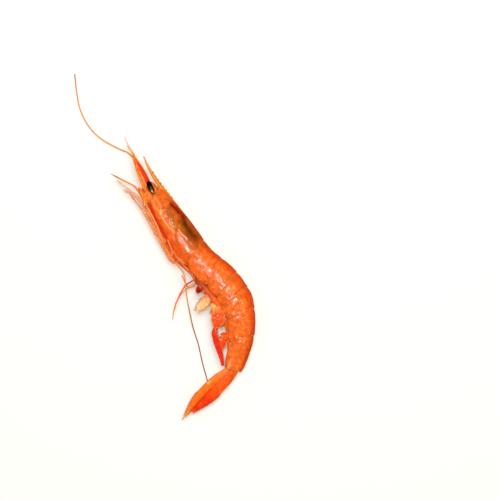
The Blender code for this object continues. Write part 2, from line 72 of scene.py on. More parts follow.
STATIONS = (-2, 6, 16, 27, 34, 40, 46, 53, 62, 68, 75, 84, 94, 105)
REACH_BACK = (5.9, 7.2, 8.3, 8.9, 8.6, 8.2, 8.6, 9.1, 9.3, 9.5, 8.5, 7.2, 6.0, 4.7)
REACH_BELLY = (4.6, 6.3, 7.6, 9.2, 9.2, 8.8, 9.1, 8.8, 9.2, 9.0, 8.4, 7.4, 6.5, 4.9)
HALF_WIDTH = (4.2, 5.6, 6.6, 7.1, 7.1, 6.9, 6.8, 6.7, 6.6, 6.4, 6.1, 5.5, 4.7, 3.9)
HEIGHT = (6.9, 7.0, 7.0, 7.0, 7.0, 6.8, 6.7, 6.6, 6.5, 6.3, 6.0, 5.5, 4.9, 4.3)

ROUND_BACK = 2.1
ROUND_BELLY = 2.6
TROUGH_FLAT = 20.0
TROUGH_EDGE = 38.0
TROUGH_WIDEN = 14.0
TROUGH_STATIONS = (0, 12, 30, 44, 88, 100)
TROUGH_DEPTH = (0.4, 3.0, 3.0, 2.0, 2.0, 0.3)

PLATE_REAR = (32.6, 47.3, 57.0, 64.8, 74.0, 86.0, 104.7)
PLATE_SLANT = (5.6, 4.6, 3.8, 2.8, 2.4, 4.6, 0.4)
CORNER = 1.1
CORNER_REACH = 3.0
LINE_LENGTH = LINE_REACH[1] - LINE_REACH[0]
print("the line is", LINE_LENGTH, "mm long")


# %% A smooth curve through a few values
def smooth(at, stations, values):
    """A smooth curve through values at stations: cubic pieces that share their slopes.

    Beyond its ends the curve stays level.
    """
    at = np.asarray(at, float)
    stations = np.asarray(stations, float)
    values = np.asarray(values, float)
    slopes = np.gradient(values, stations)
    k = np.clip(np.searchsorted(stations, at) - 1, 0, len(stations) - 2)
    span = stations[k + 1] - stations[k]
    t = np.clip((at - stations[k]) / span, 0.0, 1.0)
    start = values[k] * (1 + 2 * t) * (1 - t) ** 2
    end = values[k + 1] * t * t * (3 - 2 * t)
    bend = span * (slopes[k] * t * (1 - t) ** 2 - slopes[k + 1] * t * t * (1 - t))
    return start + end + bend


print("the trunk is", round(2 * float(smooth(27.0, STATIONS, HALF_WIDTH)), 1), "mm wide")


# %% Points on the line
def body_line():
    """Stations, places and headings: a place is the running sum of steps along the headings."""
    s = np.arange(*LINE_REACH, LINE_STEP)
    heading = np.radians(np.interp(s, LINE_STATIONS, LINE_HEADINGS))
    x = np.cumsum(np.cos(heading)) * LINE_STEP
    y = np.cumsum(np.sin(heading)) * LINE_STEP
    x = x + BODY_ZERO[0] - np.interp(0.0, s, x)
    y = y + BODY_ZERO[1] - np.interp(0.0, s, y)
    return s, x, y, heading


LINE_S, LINE_X, LINE_Y, LINE_TURN = body_line()


def on_body(points):
    """Places in the frame of points (s, d, w): d square to the line's heading, w upwards."""
    s, d, w = np.moveaxis(np.asarray(points, float), -1, 0)
    turn = np.interp(s, LINE_S, LINE_TURN)
    x = np.interp(s, LINE_S, LINE_X) - np.sin(turn) * d
    y = np.interp(s, LINE_S, LINE_Y) + np.cos(turn) * d
    return np.stack([x, y, smooth(s, STATIONS, HEIGHT) + w], axis=-1)


def on_fan(points):
    """Places of points of the tail fan, whose own straight line leaves the body line's end."""
    s, d, w = np.moveaxis(np.asarray(points, float), -1, 0)
    root = on_body((TAIL_LINE_END, 0.0, 0.0))
    turn = math.radians(FAN_HEADING)
    x = root[0] + np.cos(turn) * s - np.sin(turn) * d
    y = root[1] + np.sin(turn) * s + np.cos(turn) * d
    return np.stack([x, y, root[2] - FAN_DROP * np.clip(s / FAN_LENGTH, 0.0, 1.0) + w], axis=-1)


print("the fan's root is at", np.round(on_fan((0.0, 0.0, 0.0)), 1), "mm")

# %% [markdown]
# ## From a grid of points to a mesh
#
# Every piece is a grid of points: rows along it, columns round it. Quads join neighbours, the
# last column meets the first, and a single point closes each end. Several such skins can go
# into one mesh, which is how hundreds of hairs become one piece. Two things travel with each
# point: a place on the skin in millimetres, which the materials' patterns follow, and a paint
# colour, because raw shell changes colour from patch to patch and not by material.


# %% Linear light of a colour
def linear(colour):
    """Linear light of an sRGB hex colour."""
    parts = np.array([int(colour[i:i + 2], 16) for i in (1, 3, 5)]) / 255
    return np.where(parts <= 0.04045, parts / 12.92, ((parts + 0.055) / 1.055) ** 2.4)


print("half grey is", np.round(linear("#808080"), 3), "in linear light")


# %% A closed skin over a grid
def skin(grid, where=None, paint="#ffffff"):
    """Points, faces, pattern places and paint of a closed skin over a grid of rows and columns."""
    rows, cols = grid.shape[:2]
    if where is None:
        where = grid
    paint = np.broadcast_to(linear(paint) if isinstance(paint, str) else paint, grid.shape)
    points, where, paint = (
        np.concatenate([a.reshape(-1, 3), a[:1].mean(axis=1), a[-1:].mean(axis=1)])
        for a in (grid, where, paint))
    row, col = np.meshgrid(np.arange(rows - 1), np.arange(cols), indexing="ij")
    here = row * cols + col
    beside = row * cols + (col + 1) % cols
    quads = np.stack([here, beside, beside + cols, here + cols], axis=-1).reshape(-1, 4)
    ring = np.arange(cols)
    ahead = (ring + 1) % cols
    end = (rows - 1) * cols
    first = np.stack([np.full(cols, rows * cols), ahead, ring], axis=-1)
    last = np.stack([np.full(cols, rows * cols + 1), end + ring, end + ahead], axis=-1)
    triangles = np.concatenate([first, last])
    corners = points[quads]
    split = np.concatenate([corners[:, (0, 1, 2)], corners[:, (0, 2, 3)], points[triangles]])
    volume = np.einsum("ij,ij->i", split[:, 0], np.cross(split[:, 1], split[:, 2])).sum()
    if volume < 0:
        quads = quads[:, ::-1]
        triangles = triangles[:, ::-1]
    return points, quads, triangles, where, paint


print("a skin of 4 rows by 6 columns has", len(skin(np.zeros((4, 6, 3)))[1]), "quads")


# %% One mesh from several skins
def place_skins(name, skins, material, *nodes, slot):
    """One object at the origin from several skins, smooth shaded, for the named nodes."""
    counts = np.cumsum([0] + [len(one[0]) for one in skins])
    points = np.concatenate([one[0] for one in skins]) * MM
    quads = np.concatenate([one[1] + start for one, start in zip(skins, counts)])
    triangles = np.concatenate([one[2] + start for one, start in zip(skins, counts)])
    mesh = bpy.data.meshes.new(name)
    mesh.vertices.add(len(points))
    mesh.vertices.foreach_set("co", points.ravel())
    mesh.loops.add(quads.size + triangles.size)
    mesh.loops.foreach_set("vertex_index", np.concatenate([quads.ravel(), triangles.ravel()]))
    sizes = np.repeat([4, 3], [len(quads), len(triangles)])
    mesh.polygons.add(len(sizes))
    mesh.polygons.foreach_set("loop_start", np.cumsum(sizes) - sizes)
    mesh.update(calc_edges=True)
    mesh.validate()
    mesh.shade_smooth()
    where = np.concatenate([one[3] for one in skins])
    paint = np.concatenate([one[4] for one in skins])
    paint = np.concatenate([paint, np.ones((len(paint), 1))], axis=1)
    for key, kind, field, values in (("skin_mm", "FLOAT_VECTOR", "vector", where),
                                     ("paint", "FLOAT_COLOR", "color", paint)):
        data = mesh.attributes.new(key, kind, "POINT").data
        data.foreach_set(field, values.astype(np.float32).ravel())
    mesh.materials.append(material)
    piece = bpy.data.objects.new(name, mesh)
    bpy.context.scene.collection.objects.link(piece)
    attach(piece, "root")
    if nodes:
        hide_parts(*nodes)
    print(f"{name}: {len(sizes)} faces")
    return piece


# %% Bells, steps and brush strokes
def bell(x, middle, width):
    """A bump of height one at a middle: exp of minus the square of distance over width."""
    return np.exp(-((x - middle) / width) ** 2)


def step(x, low, high):
    """From zero at low to one at high, with level ends: 3 t squared minus 2 t cubed."""
    t = np.clip((x - low) / (high - low), 0.0, 1.0)
    return t * t * (3 - 2 * t)


def stroke(s, d, route, width):
    """One on a brush line through (s, d) points, falling off as a bell with the distance to it."""
    route = np.asarray(route, float)
    nearest = np.full(np.shape(s), np.inf)
    for (s0, d0), (s1, d1) in zip(route[:-1], route[1:]):
        length = max((s1 - s0) ** 2 + (d1 - d0) ** 2, 1e-9)
        t = np.clip(((s - s0) * (s1 - s0) + (d - d0) * (d1 - d0)) / length, 0.0, 1.0)
        nearest = np.minimum(nearest, (s - s0 - t * (s1 - s0)) ** 2 + (d - d0 - t * (d1 - d0)) ** 2)
    return np.exp(-nearest / width ** 2)


print("a bell falls from 1 to", round(float(bell(1.0, 0.0, 1.0)), 2), "over its width")


# %% Unevenness, and paint in layers
def waves(a, b, pitch, seed, count=7):
    """Unevenness, mostly from minus one to one: sine waves of about one pitch, each its own way."""
    draw = np.random.default_rng(seed)
    turn = draw.uniform(0.0, np.pi, count)
    rate = 2 * np.pi / pitch * draw.uniform(0.6, 1.5, count)
    start = draw.uniform(0.0, 2 * np.pi, count)
    total = sum(np.sin(r * (a * np.cos(t) + b * np.sin(t)) + p)
                for r, t, p in zip(rate, turn, start))
    return total / np.sqrt(2.0 * count)


def patches(a, b, pitch, seed):
    """The same unevenness, mostly from nought to one."""
    return 0.5 + 0.5 * waves(a, b, pitch, seed)


def plain(colour, like):
    """Paint of one colour for every point of a grid."""
    return np.broadcast_to(linear(colour), np.shape(like)[:2] + (3,))


def mixed(under, colour, share):
    """Paint with a share of another colour over it."""
    return under + (linear(colour) - under) * np.clip(share, 0.0, 1.0)[..., None]


def layered(paint, layers):
    """Paint with several colours over it, one after another, each by its own share."""
    for colour, share in layers:
        paint = mixed(paint, colour, share)
    return paint


sample = patches(np.arange(100.0), 0.0, 3.0, 1)
print("patches run from", round(sample.min(), 2), "to", round(sample.max(), 2))

# %% [markdown]
# ## Materials
#
# Raw shrimp shell is chitin: clear, thin and tough, with orange and red pigment in it and wet
# flesh below. Light sinks in, takes on the orange, and comes out a millimetre or two away, so
# the shell is a Principled surface with subsurface scattering. Its skin is wet, which gives
# the small sharp highlights. The paint of each point is the shell's colour there, and noise in
# real millimetres breaks it up: clouds of flesh of about 3 mm, and pigment specks under half a
# millimetre.


# %% One way to add a node
def add_node(tree, kind, settings=None, links=None):
    """A shader node: settings name sockets or properties, links name sockets and sources."""
    node = tree.nodes.new(kind)
    for key, value in (settings or {}).items():
        if isinstance(key, int) or key in node.inputs:
            node.inputs[key].default_value = value
        else:
            setattr(node, key, value)
    for socket, source in (links or {}).items():
        tree.links.new(source, node.inputs[socket])
    return node


# %% The shell's recipe
# Light sinks furthest in as red, and least as blue, so edges and thin places glow red.
SINKING = (1.0, 0.35, 0.15)
SHELL_IOR = 1.45
FILM_ROUGHNESS = 0.06
SPECK_MM = 0.45
GRAIN_MM = 0.625


def wet_shell(name, roughness=0.13, depth_mm=1.2, scatter=0.25, cloud_mm=3.0, cloud=0.25,
              speck=0.3, speck_colour="#b02408", relief_mm=0.05, coat=0.15,
              pigment=(0.87, 0.71, 0.40)):
    """Painted shell with clouds, specks, fine relief and light that sinks in by a depth."""
    material = bpy.data.materials.new(name)
    material.use_nodes = True
    tree = material.node_tree
    shader = tree.nodes["Principled BSDF"]
    where = add_node(tree, "ShaderNodeAttribute", {"attribute_name": "skin_mm"}).outputs["Vector"]
    paint = add_node(tree, "ShaderNodeAttribute", {"attribute_name": "paint"}).outputs["Color"]
    clouds = add_node(tree, "ShaderNodeTexNoise",
                      {"Scale": 1.0 / cloud_mm, "Detail": 4.0, "Roughness": 0.6},
                      {"Vector": where})
    shade = add_node(tree, "ShaderNodeMapRange",
                     {"From Min": 0.3, "From Max": 0.7,
                      "To Min": 1.0 - cloud, "To Max": 1.0 + cloud},
                     {"Value": clouds.outputs["Fac"]})
    filtered = add_node(tree, "ShaderNodeVectorMath", {"operation": "MULTIPLY", 1: pigment},
                        {0: paint})
    clouded = add_node(tree, "ShaderNodeVectorMath", {"operation": "SCALE"},
                       {0: filtered.outputs["Vector"], "Scale": shade.outputs["Result"]})
    cells = add_node(tree, "ShaderNodeTexVoronoi",
                     {"Scale": 1.0 / SPECK_MM, "Randomness": 1.0}, {"Vector": where})
    speckled = add_node(tree, "ShaderNodeMapRange",
                        {"From Min": 0.12, "From Max": 0.38, "To Min": speck, "To Max": 0.0},
                        {"Value": cells.outputs["Distance"]})
    patchy = add_node(tree, "ShaderNodeMath", {"operation": "MULTIPLY"},
                      {0: speckled.outputs["Result"], 1: clouds.outputs["Fac"]})
    colour = add_node(tree, "ShaderNodeMix", {"data_type": "RGBA"})
    tree.links.new(patchy.outputs["Value"], colour.inputs[0])
    tree.links.new(clouded.outputs["Vector"], colour.inputs[6])
    colour.inputs[7].default_value = (*linear(speck_colour), 1.0)
    tree.links.new(colour.outputs[2], shader.inputs["Base Color"])
    fine = add_node(tree, "ShaderNodeTexNoise",
                    {"Scale": 1.0 / GRAIN_MM, "Detail": 5.0, "Roughness": 0.62},
                    {"Vector": where})
    bump = add_node(tree, "ShaderNodeBump", {"Strength": 1.0, "Distance": relief_mm * MM},
                    {"Height": fine.outputs["Fac"]})
    tree.links.new(bump.outputs["Normal"], shader.inputs["Normal"])
    wet = add_node(tree, "ShaderNodeMapRange",
                   {"From Min": 0.35, "From Max": 0.7,
                    "To Min": 0.7 * roughness, "To Max": 1.5 * roughness},
                   {"Value": fine.outputs["Fac"]})
    tree.links.new(wet.outputs["Result"], shader.inputs["Roughness"])
    for socket, value in {
            "Subsurface Weight": scatter, "Subsurface Scale": depth_mm * MM,
            "Subsurface Radius": SINKING, "IOR": SHELL_IOR, "Specular IOR Level": 0.5,
            "Coat Weight": coat, "Coat Roughness": FILM_ROUGHNESS}.items():
        shader.inputs[socket].default_value = value
    print("material", name)
    return material


# %% The seven finishes
# Shell over flesh: orange, half clear, wet.
CHITIN = wet_shell("wet_raw_chitin", pigment=(0.82, 0.70, 0.40))
# The thin blades of the tail fan and the head: redder, with less flesh below.
BLADE_CHITIN = wet_shell("thin_blade_chitin", depth_mm=0.6, scatter=0.2, cloud_mm=2.2,
                         speck=0.35, relief_mm=0.03)
# Legs: pink, nearly clear tubes.
LEG_CHITIN = wet_shell("clear_leg_chitin", depth_mm=0.9, scatter=0.5, cloud_mm=1.6, cloud=0.2,
                       speck=0.2, relief_mm=0.02, pigment=(1.0, 0.82, 0.58))
# Swimming legs and belly: soft red skin.
SWIM_SKIN = wet_shell("swimming_leg_skin", depth_mm=0.7, scatter=0.3, cloud_mm=1.5, speck=0.4,
                      relief_mm=0.03)
# Whiskers: hard horny rings, golden brown.
WHISKER_HORN = wet_shell("ringed_whisker_horn", roughness=0.25, scatter=0.1, depth_mm=0.3,
                         cloud_mm=1.2, speck=0.1, relief_mm=0.01, coat=0.1,
                         pigment=(0.95, 0.8, 0.45))
# Eyes: black under a clear wet film.
EYE_CORNEA = wet_shell("wet_black_cornea", roughness=0.12, scatter=0.0, cloud_mm=0.8, cloud=0.3,
                       speck=0.2, speck_colour="#4a2410", relief_mm=0.01, coat=0.1)
# Fringe hair: pale, clear bristles.
BRISTLE = wet_shell("clear_bristle", roughness=0.3, scatter=0.2, depth_mm=0.3, cloud_mm=1.0,
                    cloud=0.1, speck=0.0, relief_mm=0.0, coat=0.0)

# %% [markdown]
# ## The shell of head and tail
#
# A shrimp's shell is one shield over the head and six hoops over the tail, each with a thin
# rear lip that slides over the neck of the next. A hoop is a superellipse with a rounder back
# and squarer flanks, and its two side flaps leave a trough along the belly. Sweeping that
# outline along the body line gives all seven plates. The lips and necks are short profiles:
# how far past the edge, and how deep below the outer surface. Grooves and ridges are relief on
# that surface, so they bend with it and catch the light.

# %% Outlines round the trunk
COLUMNS = 240
ANGLE = np.arange(COLUMNS) * 2 * np.pi / COLUMNS
DEGREES = np.degrees(np.minimum(ANGLE, 2 * np.pi - ANGLE))
BELLYWARD = (1 - np.cos(ANGLE)) / 2


def hoops(s, inset, edge_distance):
    """Outlines as d and w: superellipses less the inset, with the trough and the cut corners.

    d is the reach times cos to the power 2/n, w the half width times sin to the power 2/n, and
    the trough lifts the belly by a smooth step between its two angles.
    """
    near = np.clip(1 - edge_distance / CORNER_REACH, 0.0, 1.0) ** 2
    back = smooth(s, STATIONS, REACH_BACK) - inset
    belly = smooth(s, STATIONS, REACH_BELLY) - inset - CORNER * near
    half = smooth(s, STATIONS, HALF_WIDTH) - inset
    up = np.cos(ANGLE)
    side = np.sin(ANGLE)
    power = 2.0 / np.where(up > 0, ROUND_BACK, ROUND_BELLY)
    d = np.where(up > 0, back, belly) * np.sign(up) * np.abs(up) ** power
    w = half * np.sign(side) * np.abs(side) ** power
    wall = (TROUGH_EDGE + TROUGH_WIDEN * inset - (180.0 - DEGREES)) / (TROUGH_EDGE - TROUGH_FLAT)
    return d + np.interp(s, TROUGH_STATIONS, TROUGH_DEPTH) * step(wall, 0.0, 1.0), w


print("the trunk is", round(float(np.ptp(hoops(27.0, 0.0, CORNER_REACH)[0])), 1), "mm deep")

# %% Rows of a plate, with its front and its lip
# Points of a profile: how far past the edge, and how deep below the outer surface.
FACE = ((-1.6, 3.3), (-1.2, 2.2), (-0.3, 1.2), (0.3, 0.8), (0.0, 0.5), (0.0, 0.15), (0.4, 0.0))
LIP = ((-0.9, -0.02), (-0.15, -0.04), (0.0, 0.06), (0.0, 0.26), (-2.1, 0.4))
NECK = ((-1.2, 1.2), (-0.5, 0.75), (0.0, 0.42), (0.6, 0.26), (1.8, 0.04))
ROW_STEP = 0.3
EDGE_STEP = 0.12


def along_profile(profile, spacing):
    """Points at even spacing along the straight lines of an (ahead, inset) profile."""
    profile = np.asarray(profile, float)
    reach = np.concatenate([[0.0], np.cumsum(np.hypot(*np.diff(profile, axis=0).T))])
    at = np.linspace(0.0, reach[-1], max(3, round(reach[-1] / spacing)))
    return np.interp(at, reach, profile[:, 0]), np.interp(at, reach, profile[:, 1])


def shell_rows(front, front_profile, rear, square=0.0):
    """Stations, insets, and distances behind the front and before the rear, by row and column."""
    ahead, deep = along_profile(front_profile, EDGE_STEP)
    first = front + ahead[-1]
    last = rear + LIP[0][0]
    part = np.linspace(0.0, 1.0, round((last - first).mean() / ROW_STEP))[1:-1, None]
    middle = first + (last - first) * part
    lip_ahead, lip_deep = along_profile(LIP, EDGE_STEP)
    s = np.concatenate([front + ahead[:, None], middle, rear + lip_ahead[:, None]])
    flush = np.interp(part[:, 0], (0, 0.1, 0.9, 1), (deep[-1], 0, 0, lip_deep[0]))
    inset = np.concatenate([deep, flush, lip_deep])
    behind = s - front
    before = rear - s + square
    return s, inset[:, None] + np.zeros(COLUMNS), behind, before


print("lip of", len(along_profile(LIP, EDGE_STEP)[0]), "rows")


# %% A plate from its rows, its relief and its paint
def place_plate(name, rows, corner, relief, colours):
    """One plate: relief lifts the outline by lowering its inset, and only on the outer face."""
    s, inset, behind, before = rows
    d, w = hoops(s, inset, corner)
    outer = 1.0 - step(inset, 0.15, 0.45)
    lift = relief(s, d, w, behind, before) * outer
    d, w = hoops(s, inset - lift, corner)
    points = on_body(np.stack([s, d, w], axis=-1))
    points[..., 2] = np.maximum(points[..., 2], 0.0)
    girth = np.sign(w) * np.radians(DEGREES)
    girth *= 0.5 * smooth(s, STATIONS, REACH_BACK) + 0.5 * np.abs(w).max()
    where = np.stack([s, girth, d], axis=-1)
    paint = colours(s, d, behind, before)
    # Painted light: faces set in below the outer surface, at lips and necks, get a paler orange so
    # the shaded gaps between plates look less dark.
    paint = mixed(paint, "#f08040", 0.7 * (1 - outer))
    return place_skins(name, [skin(points, where, paint)], CHITIN, name.replace("_shell", ""),
                       slot="shell")


# %% [markdown]
# ### The head shield
#
# Its landmarks are the notch for the eye, the small spine under it, the neck groove that curves
# down from the back, the pale ridge in front of that groove, and a beaded lower margin. Its
# colours are far from even: a dark liver shows through brown and olive under the back, the
# lower margin is bright red, and the flank is orange with pink and golden clouds.

# %% Lines and patches on the head shield
NECK_GROOVE = ((14.5, 6.4), (17.2, 4.0), (18.6, 2.0), (20.3, -0.4), (22.4, -2.3), (24.6, -3.6))
LIVER_GROOVE = ((6.5, -3.2), (11.0, -3.9), (15.5, -2.9), (20.3, -0.4))
GILL_LINE = ((20.3, -0.4), (25.0, 1.3), (31.0, 1.9))
PALE_RIDGE = ((6.6, -1.6), (10.0, -2.2), (14.0, -2.5), (17.4, -2.1), (20.4, -0.9))
EYE_RIDGE = ((-0.5, 0.2), (4.0, 0.4), (8.0, -0.6))
CHEEK = ((5.6, -0.2), (8.0, -1.4))
MARGIN_LINE = ((2.0, -3.9), (5.8, -4.7), (10.8, -5.5), (16.0, -6.1), (22.1, -6.9), (27.0, -7.3))
# Route of the rim ridge; the pale paint laid along it is a painted highlight.
RIM_RIDGE_AND_HIGHLIGHT = ((22.0, -6.4), (26.0, -7.4), (31.0, -7.9), (36.0, -6.9))
RED_PATCH = ((7.6, 5.4), (11.5, 6.3), (16.4, 6.8))
OLIVE_PATCH = ((17.4, 6.4), (21.0, 5.6), (25.5, 5.6), (30.5, 6.2))
OLIVE_INSIDE = ((18.0, 3.6), (22.0, 3.0), (27.0, 3.8), (31.0, 4.2))
GOLD_SPOT = ((16.0, 1.2), (19.0, 2.4), (21.5, 3.6))
DUSKY_FLANK = ((9.0, 3.0), (13.0, 2.6), (16.5, 1.2))
BACK_LINE = ((22.0, 8.9), (28.0, 9.2), (34.0, 8.8))
BROWN_VEINS = ((1.5, 2.4), (5.0, 1.6), (9.0, 1.6), (12.5, 0.6), (14.0, -1.0))
PALE_CHEEK = ((0.5, -1.8), (4.5, -2.6), (7.0, -2.2))
BROWN_REAR = ((24.0, 2.6), (29.0, 2.0), (33.0, 3.4))
BROWN_FLANK = ((24.5, -3.8), (31.5, -4.6))
print("the neck groove runs from", NECK_GROOVE[0], "to", NECK_GROOVE[-1])


# %% Relief of the head shield
def margin_bead():
    """A bead with a groove above it along both lower edges of a plate."""
    edge = 180.0 - DEGREES
    return 0.10 * bell(edge, 43.0, 3.5) - 0.08 * bell(edge, 52.0, 4.0)


# Height, width and route of each groove (below nought) and ridge.
SHIELD_LINES = (
    (-0.30, 0.75, NECK_GROOVE), (-0.16, 0.6, LIVER_GROOVE), (-0.10, 0.6, GILL_LINE),
    (0.16, 0.35, PALE_RIDGE), (0.14, 0.35, EYE_RIDGE), (0.10, 0.3, RIM_RIDGE_AND_HIGHLIGHT), (0.22, 0.5, CHEEK),
)


def shield_relief(s, d, w, behind, before):
    """Grooves, ridges and the keel, each a stroke or bell of its own depth, over gentle waves."""
    lift = sum(height * stroke(s, d, route, width) for height, width, route in SHIELD_LINES)
    lift += 0.08 * waves(s, d, 2.4, 5) * (1 - step(s, 6.0, 16.0))
    lift += 0.20 * bell(DEGREES, 0.0, 5.0) * (1 - step(s, 12.0, 26.0))
    lift += margin_bead()
    lift += 0.05 * bell(before, 0.5, 0.4) - 0.05 * bell(before, 1.4, 0.4)
    lift += 0.07 * waves(s, w + d, 6.5, 3) + 0.03 * waves(s, d - w, 2.2, 4)
    return lift


print(len(SHIELD_LINES), "grooves and ridges")


# %% Paint of the head shield
def shield_paint(s, d, behind, before):
    """Orange shell, with each patch of colour laid over it by its own stroke or step."""
    cloud = patches(s, d, 5.0, 11)
    fleck = patches(s, d, 1.8, 12)
    fading = (1 - 0.45 * step(s, 28.0, 32.0)) * (0.8 + 0.2 * cloud)
    return layered(plain("#e8682a", s), (
        ("#f28a50", 0.55 * cloud),
        ("#b43e10", 0.5 * step(waves(s, d, 1.3, 13), 0.2, 1.0)),
        ("#fbac80", 0.4 * step(waves(s, d, 1.9, 14), 0.3, 1.0)),
        ("#dc7a20", 0.45 * fleck * step(d, -3.0, 3.0)),
        ("#f0601e", 0.7 * step(-d, 2.5, 5.5)),
        ("#a8602e", 0.8 * stroke(s, d, DUSKY_FLANK, 1.9)),
        ("#c25a10", 0.7 * step(d, 2.6, 6.0) * step(s, 2.0, 10.0)),
        ("#8c4408", 0.75 * stroke(s, d, OLIVE_INSIDE, 1.8)),
        ("#c87c10", 0.75 * stroke(s, d, GOLD_SPOT, 1.3)),
        ("#b05818", 0.5 * stroke(s, d, BROWN_REAR, 1.8)),
        ("#c4501a", 0.5 * stroke(s, d, BROWN_FLANK, 2.0)),
        ("#4c2204", 0.95 * fading * stroke(s, d, OLIVE_PATCH, 1.8)),
        ("#8a0f04", 0.95 * stroke(s, d, RED_PATCH, 1.2)),
        ("#c0460c", 0.7 * stroke(s, d, BACK_LINE, 1.2)),
        ("#f6b05c", 0.75 * stroke(s, d, PALE_RIDGE, 0.45)),
        ("#f5a878", 0.6 * stroke(s, d, EYE_RIDGE, 0.6)),
        ("#c8561a", 0.6 * stroke(s, d, NECK_GROOVE, 0.6)),
        ("#f0a868", 0.45 * bell(DEGREES, 0.0, 9.0) * (1 - step(s, 14.0, 24.0))),
        ("#f8b070", 0.5 * stroke(s, d, PALE_CHEEK, 1.1)),
        ("#de260c", 0.9 * stroke(s, d, MARGIN_LINE, 1.1)),
        # Painted highlight: a thin pale cream line along the rim ridge.
        ("#fbd0a8", 0.75 * stroke(s, d, RIM_RIDGE_AND_HIGHLIGHT, 0.32)),
        ("#c8480f", 0.6 * bell(before, 1.0, 0.5)),
        ("#b03c10", 0.55 * stroke(s, d, BROWN_VEINS, 0.45)),
        ("#e4571c", 0.6 * (1 - step(behind, 0.3, 1.6))),
    ))


# %% Make the head shield
FRONT = -2.0
FRONT_SLANT = 1.9
NOTCH = 1.3
SPINE = 0.9
front_edge = FRONT + FRONT_SLANT * BELLYWARD + NOTCH * bell(DEGREES, 50.0, 17.0)
front_edge -= SPINE * bell(DEGREES, 84.0, 7.0)
shield_rear = PLATE_REAR[0] + PLATE_SLANT[0] * BELLYWARD
shield_rows = shell_rows(front_edge, FACE, shield_rear)
place_plate("carapace_shell", shield_rows, shield_rows[3], shield_relief, shield_paint)

# %% [markdown]
# ### The hoops of the tail
#
# Every hoop repeats the same plan: a smooth front that slides under the plate ahead, a fine
# crosswise ridge behind it, a hinge knob on the flank, and a flap below the hinge with its own
# beaded margin. The last hoop is longer, without flaps, and has a keel on its back.

# %% Relief of a hoop
HINGE_ANGLE = 104.0
KEEL_HEIGHT = (0.0, 0.0, 0.0, 0.0, 0.10, 0.16, 0.30)
LAST_HOOP = 6


def hoop_relief(index):
    """The relief of one hoop of the tail: ridge, hinge, flap, keel, beads and gentle waves."""
    flapped = index < LAST_HOOP

    def relief(s, d, w, behind, before):
        lift = 0.04 * bell(behind, 3.0, 0.4) - 0.03 * bell(behind, 2.2, 0.5)
        lift += 0.22 * bell(DEGREES, HINGE_ANGLE, 4.5) * bell(before, 1.0, 0.8) * flapped
        flap = step(DEGREES, 96.0, 106.0) * flapped
        lift -= 0.12 * flap * bell(before + 0.06 * (DEGREES - HINGE_ANGLE), 3.6, 0.5)
        lift += 0.06 * flap * bell(before, 0.9, 0.5)
        rounding = 0.6 * (1 - step(before - CORNER_REACH, 0.0, 3.0)) * (not flapped)
        lift += KEEL_HEIGHT[index] * bell(DEGREES, 0.0, 4.0) - rounding
        lift += margin_bead()
        lift += 0.03 * bell(before, 0.45, 0.35) - 0.03 * bell(before, 1.3, 0.4)
        bar = 0.35 * bell(before, 3.0, 1.0) - 0.2 * bell(before, 5.5, 1.0)
        lift += (step(DEGREES, 158.0, 166.0) * bar + 0.06 * waves(s, w + d, 5.0, 20 + index)
                 + 0.025 * waves(s, d - w, 1.9, 30 + index))
        return lift
    return relief


print("the keel rises to", max(KEEL_HEIGHT), "mm")

# %% Paint of a hoop
OLIVE_STREAK = ((88.5, 3.4), (92.0, 3.6), (96.0, 2.6))
# Route of a pale pink patch low on the last hoop near its end: a painted highlight.
PAINTED_TAIL_HIGHLIGHT = ((101.0, -2.6), (104.0, -2.4))
RED_DOT = ((76.6, 2.0), (76.6, 2.0))
BROWN_SHOULDER = ((33.0, 5.4), (36.5, 5.8))


def hoop_paint(index):
    """The paint of one hoop: clouds on the flank, a deeper back, a pale line at the lip, and on the
    last hoop a painted highlight.
    """
    def colours(s, d, behind, before):
        return layered(plain("#f5722a", s), (
            ("#fa9058", 0.6 * patches(s, d, 4.2, 40 + index)),
            ("#ee5e14", 0.35 * patches(s, 0.5 * d, 1.5, 50 + index)),
            ("#c84610", 0.5 * step(waves(s, d, 1.2, 60 + index), 0.2, 1.0)),
            ("#ffb48c", 0.45 * step(waves(s, d, 2.0, 70 + index), 0.3, 1.0)),
            ("#dc4e0a", 0.85 * step(d / smooth(s, STATIONS, REACH_BACK), 0.5, 0.85)),
            ("#ec5a1a", 0.5 * step(-d, 5.0, 8.0)),
            ("#c8440c", 0.5 * bell(before, 1.3, 0.4)),
            ("#f28a58", 0.3 * bell(before, 0.4, 0.3)),
            ("#e25a1a", 0.3 * bell(behind, 1.8, 0.6)),
            ("#a84a0c", 0.25 * stroke(s, d, OLIVE_STREAK, 1.0)),
            ("#b25a18", 0.5 * stroke(s, d, BROWN_SHOULDER, 1.9)),
            # Painted highlight low on the last hoop.
            ("#fbbc98", 0.6 * stroke(s, d, PAINTED_TAIL_HIGHLIGHT, 0.9)),
            ("#8c1410", 0.9 * stroke(s, d, RED_DOT, 0.45)),
        ))
    return colours


# %% Make the six hoops
for index in range(1, len(PLATE_REAR)):
    ahead_edge = PLATE_REAR[index - 1] + PLATE_SLANT[index - 1] * BELLYWARD
    rear_edge = PLATE_REAR[index] + PLATE_SLANT[index] * BELLYWARD
    square = CORNER_REACH if index == LAST_HOOP else 0.0
    rows = shell_rows(ahead_edge, NECK, rear_edge, square)
    corner = np.minimum(np.maximum(rows[2], 0.0), np.maximum(rows[3], square))
    place_plate(f"abdomen_{index}_shell", rows, corner, hoop_relief(index), hoop_paint(index))

# %% [markdown]
# ### The beak
#
# The beak is a thin upright blade that grows out of the keel, with saw teeth on its back that
# lean forward. Its section is a lens with a rib along each side. The teeth are a saw wave: a
# steep front, then a slope back over a millimetre.

